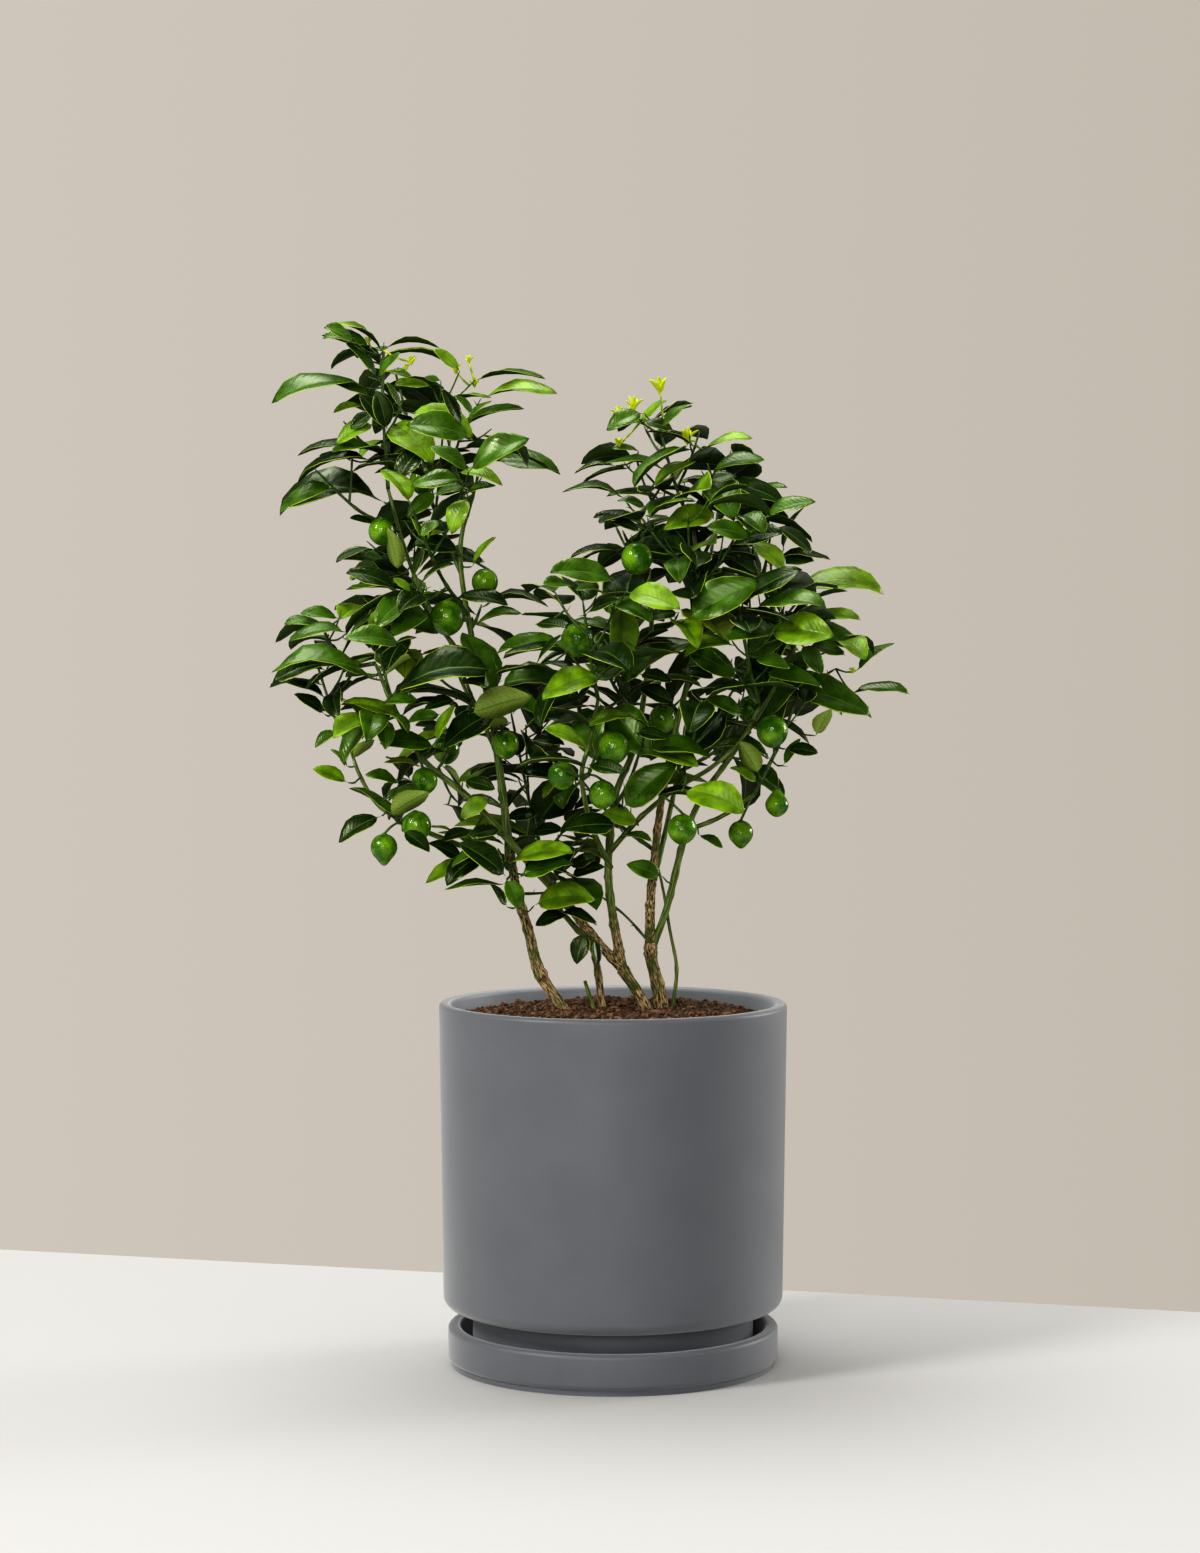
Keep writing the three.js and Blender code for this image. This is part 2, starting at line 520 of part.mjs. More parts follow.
// Every mass: first all stems and twigs, then the limes, then the leaves, so that each later
// piece is tried against all that is there and skipped where it would touch.
function growMasses(limbs) {
  const fixed = [...limbs.values()].map((limb) => withBounds(limb.solid, limb.name));
  fixed.push(withBounds(solidOf(lathe(potProfile(), ROUND)), "pot"));
  const placed = [];
  const blades = [];
  const othersOf = (name) => [...fixed, ...placed.filter(({ owner }) => owner !== name)];
  const masses = MASSES.map((mass) => {
    const random = seeded(mass.seed);
    const growing = twigsOf(mass, limbs, random).filter((twig, i) => {
      let body = twigSolid(twig);
      if (i === 0) {
        for (const limb of limbs.values()) body = body.subtract(limb.clearance);
        body = largestPiece(body);
      } else if (!isClear(body, othersOf(mass.name))) return false;
      placed.push(withBounds(body, mass.name));
      return true;
    });
    return { ...mass, random, growing };
  });
  for (const { mass, centre } of LIMES) {
    const { growing } = masses.find(({ name }) => name === mass);
    const { fruit, stalk } = limeSolids(centre, growing);
    if (![fruit, stalk].every((body) => isClear(body, othersOf(mass)))) continue;
    placed.push(withBounds(fruit, mass), withBounds(stalk, mass));
    blades.push(withBounds(fruit, mass));
  }
  for (const { name, growing, random } of masses)
    for (const slot of growing.flatMap((twig) => leafSlots(twig, random)))
      for (let attempt = 0; attempt < LEAF.tries; attempt++) {
        const leaf = leafAt(slot, attempt);
        const blade = leafSolid(leaf, LEAF.free, 1);
        const whole = leafSolid(leaf, 0.02, 0.6);
        if (!isClear(whole, othersOf(name)) || !isClear(blade, blades, 0.1)) continue;
        placed.push(withBounds(leafSolid(leaf), name));
        blades.push(withBounds(blade, name));
        break;
      }
  return masses.map(({ name }) => {
    const pieces = placed.filter(({ owner }) => owner === name).map(({ body }) => body);
    let solid = joined(pieces);
    while (!solid) {
      pieces.pop();
      solid = joined(pieces);
    }
    return { name, solid };
  });
}

function named(name, geometry, material) {
  const mesh = new THREE.Mesh(geometry, material);
  mesh.name = name;
  return mesh;
}

const plant = new THREE.Group();
plant.add(named("saucer", lathe(saucerProfile(), ROUND), GREY_CERAMIC));
plant.add(named("pot", lathe(potProfile(), ROUND), GREY_CERAMIC));
plant.add(named("soil", lathe(soilProfile(), ROUND), SOIL_BROWN));
const limbs = growLimbs();
for (const { name, solid } of limbs.values()) plant.add(named(name, geometryOf(solid), BARK));
for (const { name, solid } of growMasses(limbs)) plant.add(named(name, geometryOf(solid), FOLIAGE));

export default plant;
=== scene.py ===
"""Potted key lime tree: its bark, twigs, leaves, limes, new growth, pot, saucer and soil.

Sizes are in millimetres in the frame of the solids and turn to metres where a mesh is made.
The crown grows from the limbs by the rule of the solids, round leading leaves that are set one by
one, and goes on to finer twigs.
"""

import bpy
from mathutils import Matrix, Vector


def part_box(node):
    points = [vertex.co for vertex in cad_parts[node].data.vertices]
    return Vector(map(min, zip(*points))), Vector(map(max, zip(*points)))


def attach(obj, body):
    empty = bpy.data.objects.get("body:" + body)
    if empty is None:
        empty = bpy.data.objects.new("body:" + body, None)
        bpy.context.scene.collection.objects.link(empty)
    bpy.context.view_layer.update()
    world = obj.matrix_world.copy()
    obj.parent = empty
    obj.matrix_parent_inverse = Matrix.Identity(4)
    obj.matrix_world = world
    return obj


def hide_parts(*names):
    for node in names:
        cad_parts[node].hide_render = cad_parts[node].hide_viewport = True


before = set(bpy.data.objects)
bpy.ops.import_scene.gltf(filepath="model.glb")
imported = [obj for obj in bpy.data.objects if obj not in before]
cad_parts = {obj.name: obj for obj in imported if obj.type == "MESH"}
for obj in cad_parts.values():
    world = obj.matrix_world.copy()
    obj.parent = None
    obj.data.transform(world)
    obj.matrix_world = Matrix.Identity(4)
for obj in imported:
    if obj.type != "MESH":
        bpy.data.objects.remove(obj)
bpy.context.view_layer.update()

import functools
import math
from types import SimpleNamespace as Values

import bmesh
import bpy
import numpy as np
from bpy.props import FloatProperty, FloatVectorProperty, IntProperty, PointerProperty
from bpy.types import Operator, Panel, PropertyGroup
from mathutils import Matrix, Vector, noise
from mathutils.bvhtree import BVHTree

bl_info = {
    "name": "Potted key lime tree",
    "version": (1, 0, 0),
    "blender": (4, 5, 0),
    "location": "View3D > Sidebar > Key lime",
    "description": "Grows a fruiting key lime tree in a glazed stoneware pot",
    "category": "Add Mesh",
}

MM = 0.001
PER_METRE = 1000
UP = Vector((0, 0, 1))
GOLDEN_ANGLE = math.radians(137.5)

# Where the tree is looked at from, and the lens, film width, tilt and reach of the camera there.
EYE = np.array((-9.7, -2500.0, 526.0))
CAMERA = Values(lens=77.7, film=36, tilt=1.98, reach=60)

# Lamps: where each soft box hangs and how wide it is, in metres, its share of the main light's
# power, and its colour. All of them face one place in the crown.
LIGHTS = [
    ("key", (-4.0, -2.7, 4.0), 1.4, 0.92, (1, 0.985, 0.955)),
    ("top", (-0.6, 0.9, 4.5), 2.4, 0.43, (1, 1, 1)),
    ("right", (4.2, 1.9, 1.5), 1.8, 0.36, (1, 1, 1)),
    ("front", (-0.6, -3.9, 1.4), 1.4, 0.22, (1, 1, 1)),
]
LIT_PLACE = (0, 0, 0.4)

# The room's own light: its tint, how much of it is left in reflections, and how near the middle
# the backdrop's two sides blend.
ROOM_TINT, IN_REFLECTIONS, BACKDROP_BLEND = (1, 0.955, 0.9, 1), 0.25, 0.25

# Table: two places on its back edge, how far it goes on beyond them and to the front, how thick
# it is and how far its edges are rounded.
TABLE = Values(left=(-543, 481), right=(472, 194), beyond=1900, depth=3600, thick=30, edge=2)

# Pot, saucer and soil. The pot's lower edge hangs down by its sag and is rounded by its turn.
SAUCER = Values(radius=123.5, height=30, wall=10, floor=8, fillet=4, ring=120.5, step=4, lip=3.5)
POT = Values(
    rim=130, base=127, top=271, skirt=46.5, wall=9.5, floor=14, foot=105, edge=5, lip=3.5, sag=3, turn=9
)
POT_BOTTOM = 8.3
SOIL = Values(level=266, edge_level=259, plateau=62, clear=0.4, swell=1.5)

# The longest straight step in the profiles of the pot and of the soil, and the soil's steps round.
POT_STEP, SOIL_STEP, SOIL_ROUND = 12, 1.7, 200

# Where the inner walls are painted paler, as painted light in place of the shade in the pot: on
# inner faces, from so far below the soil or the saucer's floor, up to so far from the rim.
PAINTED_LIT_INSIDE = Values(below_soil=6, below_floor=1, from_rim=7)

# Soil: how wide and high its broad and fine lumps are, and how far from the pot they fade. Crumbs:
# their least size and how much more, the share of bark chips, how rough and how close their
# lumps are and how they differ, and how they turn, tilt and rise.
LUMPS = Values(broad=9, broad_height=1.5, fine=2.6, fine_height=0.7, fade=4)
CRUMB = Values(
    least=0.9, more=2.4, chips=0.16, rough=0.25, close=1.7, differ=9, turned=7, tilt=0.7, raised=0.4
)
CRUMB_SHAPE, CHIP_SHAPE = (1, 0.9, 0.75), (1.7, 0.9, 0.35)

# The rule of growth. Each kind of twig has its radius at the root and at the tip and the share of
# it that stays bare. Side twigs and spurs have their shortest and longest, how far they go on
# beyond their knee, and the angle at which they leave: its least and how much more.
STEM = Values(radius=1.7, tip=0.8, bare=0.3, sag=0.08)
SIDE = Values(radius=1.1, tip=0.8, bare=0.4, shortest=30, longest=62, beyond=0.45, spread=(0.75, 0.35))
SPUR = Values(radius=0.75, tip=0.5, bare=0.35, shortest=15, longest=34, beyond=0.4, spread=(0.7, 0.5))
BARE = Values(radius=1.1, tip=0.7, bare=0, length=45)
TWIG_RISE = 0.2

# Where side twigs leave a stem: from a share of its length on, over how much of it, how far each
# strays, and its length as a share of the stem's. Spurs leave a twig a distance apart, from within
# its bare part on, each somewhere within its own stretch.
SIDE_FROM, SIDE_OVER, SIDE_STRAY, SIDE_LENGTH = 0.3, 0.5, 0.6, (0.3, 0.2)
SPUR_APART, SPUR_FROM, SPUR_START, SPUR_STRAY = 24, 0.7, 0.3, 0.4

# Rings of a twig: how far apart, and how much each fourth one swells, where leaves leave it. Its
# fine spines: how far apart, the share that is missing, where along the twig, how far each points
# along it, how long, all as the least and how much more, and the radius at the root and the tip.
TWIG_RING, NODE_SWELL = 4, 0.22
SPINES = Values(
    apart=30, missing=0.45, place=(0.2, 0.7), ahead=0.5, length=(3, 4), radii=(0.5, 0.08)
)

# What steers each piece's draws; those of the masses stand with them.
SEEDS = Values(leading=311, looks=977, spines=41, sprays=23, limes=5, tufts=61, crumbs=71)

# Leaves: how far apart along a twig and from its tip, how many tries each place gets, how far each
# try turns on, how much the rule may roll a leaf, and what is drawn for each as its least and how
# much more.
INTERNODE, LEAF_FROM_TIP = 17, 3
LEAF_TRIES, SPUR_LEAF_TRIES = 6, 3
TURN_PER_TRY = 1.1
LEAF_ROLL, OWN_ROLL, LEAF_TWIST = 1.1, 0.8, 1.1
LEAF_DRAWS = Values(
    size=(0.82, 0.36), lift=(0.1, 0.55), bend=(0.5, 0.9), fold=(0.12, 0.3), wave=(0.01, 0.022)
)
SPUR_LEAF_SIZE, LEADING_FOLD = (0.58, 0.3), (0.12, 0.25)
EXTRA_FOLD, SMALLER_AT_TIP = 0.14, 0.3

# How far the leaves of spurs may pass the box of their mass in the solids.
BOX_SLACK = 2

# How far a leaf points along its twig at the twig's root and how much more at its tip, and how
# much of its rise it keeps and gets from its lift.
LEAF_AHEAD, KEPT_RISE, LIFTED = (0.35, 0.5), 0.55, 0.6

# How far a leaf may turn its upper side inwards, and any way at all within the crown's core.
TURNED = Values(inward=0.22, core=40, in_core=0.5)

# Limes: how long for their width, how many show from the front, and the places along a twig where
# one may hang.
LIME_LONG = 1.04
SHOWN_LIMES = 17
LIME_SHARES = [0.15 + 0.05 * i for i in range(17)]

# Shape of a lime: how far it leans, from which share of its radius down its nipple is drawn out
# and over how much, the same for the hollow on top, and how much a nipple and a neck narrow it.
LIME_LEAN = 0.3
NIPPLE, HOLLOW = (0.72, 0.28), (0.8, 0.2)
HOLLOW_DEPTH = 0.05
NARROWED_BELOW, NARROWED_ABOVE = 0.3, 1.1

# Its calyx: the radius and how far it is sunk in; its stalk: the radii, how far up in the lime it
# ends and how far it arches up; and the radius at the poles of the room that the lime takes.
CALYX_RADIUS, CALYX_SUNK = 2.6, 0.97
STALK_RADII, STALK_END, STALK_ARCH = (0.8, 1.0), 0.6, 3
LIME_POLE = 5

# How much of a shown lime or leaf stays open to the front, and the part of a leaf taken for its
# middle, as a share of its length.
OPEN_LIME, OPEN_LEAF = 0.92, 0.36
LEAF_MIDDLE, NEAR_MIDDLE = 0.53, 0.1

# Old bark: the height up to which it covers a limb, and the share of a limb's radius that lies
# below its ridges.
OLD_BARK = dict(
    stem_left=400, stem_centre=330, stem_right=330, stem_rear=310, right_main=440, centre=330,
    sweep_left=350, right_side=300,
)
UNDER_BARK = 0.92

# Thick knots on a limb: the height of each, and how far it stands out as a share of the radius.
THICK_KNOTS = dict(
    stem_left=((292, 0.35), (340, 0.3)),
    stem_centre=((294, 0.22),),
    stem_right=((283, 0.2), (311, 0.3)),
    stem_rear=((303, 0.3),),
    stem_thin=((294, 0.45), (338, 0.3)),
    right_side=((366, 0.25),),
    centre=((350, 0.2),),
    right_main=((398, 0.25),),
    sweep_left=((324, 0.2), (345, 0.3)),
)

# Relief of a limb: its small knots, their number, where they start, how far apart and how much
# more; how long a small knot, a thick knot and the collar at the root reach, and how far they
# stand out.
SMALL_KNOTS = Values(count=14, first=9, apart=26, more=12, size=(0.5, 0.8), reach=2.4, out=0.3)
THICK_KNOT_REACH = 3.2
COLLAR = Values(out=0.16, reach=4)

# Bark: how close its ridges lie round a limb and along it, how much of its relief is rough and how
# much is ridge, and the little that young wood has.
GRAIN_ROUND, GRAIN_ALONG = 0.8, 0.16
ROUGH, RIDGED, YOUNG_ROUGH = 0.55, 0.45, 0.05

# Over how many mm old bark gives way to young, how far a stem goes on into the soil, and how far
# the bark's grain is shifted from one limb to the next.
AGE_FADE, ROOTED, GRAIN_SHIFT = 60, 5, 97

# A limb above this radius has finer steps: how many sides, and how far apart its rings are.
STOUT = 3
STOUT_STEPS, SLIM_STEPS = (18, 1.4), (14, 1.8)

# Stems and boughs: the radius at each point, and the points each centreline passes through.
LIMBS = {
    "stem_left": (
        [3.6, 4.6, 3.9, 3.6, 3.4],
        [(-36, -8, 266), (-54, -6, 292), (-63, -4, 324), (-72, -4, 355), (-77, -4, 385)],
    ),
    "stem_centre": (
        [4.9, 4.2, 4.4],
        [(25, -4, 266), (18, -4, 279), (7, -4, 296)],
    ),
    "stem_right": (
        [6.2, 5.1, 4.8, 4.6],
        [(36, 5, 266), (34, 5, 281), (29, 4, 302), (28, 4, 315)],
    ),
    "stem_rear": (
        [3.2, 2.7, 2.5, 2.3, 1.9],
        [(-8, 10, 266), (-12, 14, 297), (-17, 22, 312), (-32, 34, 328), (-46, 44, 343)],
    ),
    "stem_thin": (
        [1.6, 1.4, 1.3, 1.1, 1],
        [(45, 14, 266), (48, 18, 294), (43, 23, 323), (37, 24, 358), (30, 24, 384)],
    ),
    "stub": (
        [1.7, 1.4],
        [(-14, -14, 266), (-21, -14, 288)],
    ),
    "leader_right": (
        [3.4, 3.2, 2.8, 2.4, 2, 1.6],
        [(-77, -4, 385), (-85, -2, 448), (-93, 4, 497), (-105, 8, 541), (-114, 6, 601), (-109, 4, 640)],
    ),
    "leader_left": (
        [2, 1.9, 1.8, 1.6, 1.3],
        [(-99, 6, 517), (-122, 14, 541), (-142, 18, 574), (-157, 16, 613), (-168, 10, 654)],
    ),
    "centre": (
        [4.1, 3.5, 3.2, 3.1, 2.7, 2.4, 2.1, 1.9, 1.7, 1.4],
        [(7, -4, 296), (1, -6, 329), (-3, -6, 358), (-3, -4, 385), (2, 2, 426), (16, 8, 461),
         (24, 14, 504), (29, 16, 556), (25, 14, 601), (19, 10, 635)],
    ),
    "sweep_left": (
        [4, 3.7, 3.5, 3.1, 2.7, 2.2, 1.8, 1.4],
        [(7, -4, 296), (-16, -14, 322), (-33, -24, 345), (-66, -38, 382), (-105, -48, 425),
         (-138, -52, 453), (-159, -50, 488), (-174, -44, 524)],
    ),
    "low_left": (
        [2.4, 2.2, 2, 1.8, 1.5, 1.2],
        [(-76, -4, 376), (-112, -24, 389), (-153, -34, 407), (-174, -34, 421), (-187, -30, 442),
         (-194, -26, 461)],
    ),
    "centre_front": (
        [2.2, 2.1, 1.9, 1.7, 1.4],
        [(-2, -6, 372), (-16, -40, 405), (-23, -62, 442), (-17, -74, 467), (-11, -84, 498)],
    ),
    "right_main": (
        [4.4, 3.6, 3, 2.7, 2.4, 2.1, 1.8, 1.4],
        [(28, 4, 315), (28, 8, 343), (31, 10, 377), (37, 12, 425), (47, 12, 474), (59, 8, 526),
         (64, 4, 579), (60, 0, 623)],
    ),
    "right_side": (
        [3.2, 2.8, 2.6, 2.3, 2.1, 1.9, 1.6, 1.3],
        [(28, 4, 308), (40, 5, 340), (53, 2, 392), (66, -4, 424), (87, -10, 454), (108, -12, 486),
         (125, -12, 515), (137, -12, 543)],
    ),
    "cross": (
        [2.2, 2.1, 1.9, 1.7, 1.5, 1.3],
        [(-3, -4, 383), (20, -26, 410), (46, -40, 432), (72, -48, 448), (94, -52, 469),
         (107, -52, 493)],
    ),
    "low_right": (
        [1.9, 1.8, 1.7],
        [(57, 0, 400), (80, -12, 410), (104, -24, 427)],
    ),
    "rear_left": (
        [2, 1.9, 1.6, 1.3],
        [(-86, -2, 456), (-101, 40, 485), (-116, 70, 511), (-126, 90, 542)],
    ),
    "rear_right": (
        [2.2, 2.1, 1.8, 1.4],
        [(31, 8, 362), (42, 45, 405), (52, 80, 449), (60, 105, 495)],
    ),
}

# Masses of foliage: the limb each leaves, the height where it leaves it (none: at the limb's
# tip), the tip of its stem, how many side twigs, and the seed that steers the rule.
MASSES = {
    "left_crown_a": ("leader_left", None, (-173, 0, 753), 3, 34),
    "left_crown_b": ("leader_right", None, (-128, -6, 716), 3, 13),
    "left_crown_rear": ("leader_right", 590, (-167, 75, 749), 2, 26),
    "left_shoulder_a": ("leader_left", 622, (-220, -20, 667), 1, 58),
    "left_shoulder_b": ("leader_right", 625, (-96, 14, 688), 1, 98),
    "left_mid_a": ("leader_left", 572, (-177, 14, 587), 1, 10),
    "left_mid_front": ("leader_right", 560, (-148, -72, 642), 2, 10),
    "left_mid_b": ("leader_right", 548, (-99, 30, 568), 1, 30),
    "left_low_a": ("sweep_left", None, (-209, -30, 526), 2, 20),
    "left_low_cluster": ("low_left", None, (-221, -6, 526), 2, 226),
    "left_low_mid": ("sweep_left", 470, (-168, -95, 530), 2, 53),
    "left_skirt": ("low_left", 402, (-157, -60, 409), 1, 35),
    "left_waist_front": ("leader_right", 480, (-110, -100, 523), 2, 6),
    "left_waist_rear": ("rear_left", None, (-173, 110, 620), 2, 6),
    "left_low_rear": ("rear_left", 495, (-146, 105, 429), 2, 36),
    "foot_front": ("stem_left", 372, (-84, -60, 389), 2, 13),
    "foot_centre": ("stem_rear", None, (-41, 4, 396), 2, 43),
    "foot_rear": ("stem_rear", 336, (-79, 100, 487), 2, 174),
    "centre_rosette": ("centre_front", None, (-22, -110, 569), 3, 11),
    "centre_low": ("centre_front", 440, (-13, -120, 458), 2, 5),
    "centre_left": ("centre", 480, (-19, -40, 549), 3, 10),
    "centre_rear": ("centre", 450, (11, 100, 547), 1, 12),
    "centre_low_b": ("centre", 415, (25, -90, 481), 1, 9),
    "right_crown_a": ("centre", None, (36, 4, 656), 2, 51),
    "right_crown_b": ("right_main", None, (33, -14, 702), 3, 1),
    "right_crown_c": ("right_main", 595, (90, -20, 664), 3, 21),
    "right_upper_left": ("centre", 590, (7, -20, 622), 2, 110),
    "right_front": ("right_main", 540, (53, -95, 632), 3, 53),
    "right_upper": ("right_side", 535, (90, -6, 640), 3, 13),
    "right_crown_rear": ("right_main", 570, (83, 95, 651), 2, 40),
    "right_mid": ("right_side", None, (129, -20, 556), 2, 110),
    "right_far": ("right_side", 500, (166, 0, 520), 2, 9),
    "right_mid_front": ("cross", None, (89, -95, 569), 2, 86),
    "right_mid_rear": ("rear_right", None, (146, 110, 574), 2, 341),
    "right_skirt": ("low_right", None, (147, -36, 536), 1, 34),
    "right_low_front": ("cross", 432, (63, -110, 498), 2, 53),
    "right_low_rear": ("rear_right", 440, (117, 90, 493), 2, 21),
    "foot_leaf": ("stem_thin", None, (-25, 22, 438), 0, 8),
}

# Masses whose leaves stay smaller, and by how much.
SMALL_LEAVED = dict(
    left_low_cluster=0.72, left_low_mid=0.78, left_low_a=0.85, left_skirt=0.8, left_low_rear=0.8,
    left_shoulder_a=0.85, left_mid_a=0.85, right_skirt=0.8,
)

# Limes: the mass each hangs in, its centre, its size as a share, and how much it is drawn out to
# a nipple below and to a neck at its stalk.
LIMES = [
    ("left_shoulder_a", (-172, -5, 622), 0.92, 0.05, 0),
    ("left_crown_rear", (-96, 16, 585), 0.93, 0.05, 0),
    ("left_mid_front", (-123, -11, 558), 1.2, 0.05, 0),
    ("left_waist_front", (-80, -17, 464), 0.98, 0.05, 0),
    ("left_low_mid", (-137, -68, 439), 0.88, 0.05, 0),
    ("left_skirt", (-143, -65, 406), 1, 0.05, 0),
    ("left_skirt", (-167, -62, 390), 0.92, 0.34, 0),
    ("right_front", (17, -71, 600), 1.07, 0.05, 0),
    ("centre_rosette", (-26, -89, 541), 1.12, 0.05, 0),
    ("centre_rear", (38, 40, 482), 0.98, 0.05, 0),
    ("centre_low", (0, -101, 464), 1.05, 0.05, 0),
    ("centre_low", (-8, -92, 430), 0.94, 0.05, 0),
    ("centre_low", (-37, -98, 444), 0.94, 0.05, 0),
    ("centre_low_b", (50, -71, 404), 1, 0.05, 0),
    ("right_skirt", (94, -34, 399), 0.86, 0.22, 0),
    ("right_skirt", (121, -26, 420), 0.82, 0.06, 0.34),
    ("right_skirt", (115, -74, 475), 1.07, 0.05, 0),
    ("left_waist_rear", (-155, 119, 580), 1, 0.05, 0),
    ("left_crown_rear", (-145, 74, 664), 1, 0.05, 0),
    ("left_low_rear", (-129, 97, 457), 1, 0.05, 0),
    ("right_mid_rear", (108, 117, 488), 1, 0.05, 0),
    ("right_crown_rear", (72, 47, 580), 1, 0.05, 0),
]

# New growth: the tip of each young shoot above the crown, and the size of its tuft as a share.
FLUSH = [
    (-150, -4, 747, 0.6), (-117, -8, 741, 0.85), (-107, -2, 748, 0.5), (-103, 2, 731, 0.65),
    (-182, 4, 763, 0.5), (-154, 2, 743, 0.4), (35, -6, 727, 1.1), (15, -12, 713, 1),
    (6, -4, 708, 0.8), (55, -16, 689, 1.2), (4, -14, 686, 0.6), (178, -6, 518, 0.4),
]

# A tuft of new growth: its leaves, how far apart, their least length, how much longer each next
# one is and how much more is drawn, their width as a share, bend and fold, how far the first and
# the last open out, and the sag and the radii of its shoot.
TUFT = Values(
    leaves=6, apart=0.8, least=7, next=0.8, more=4, width=0.32, bend=(0.5, 0.4), fold=0.5,
    closed=0.1, opened=0.45, sag=0.05, shoot=(0.9, 0.6),
)

# How far a leading leaf's tip leans forward, and how far where its twig is at the crown's front,
# which begins at a depth. From FULL_FACE on, a leaf shows its whole face.
LEAF_LEAN, FRONT_LEAN = 6, 24
FRONT_DEPTH = -84
FULL_FACE = 0.75

# A leading leaf is carried from within a distance seen from the front, or from a little more than
# the nearest, best from the front. Its spur is drawn from a length on and sags by a share of it.
CARRIED = Values(within=14, beyond_nearest=4, weight=2, least=1.5, sag=0.1)
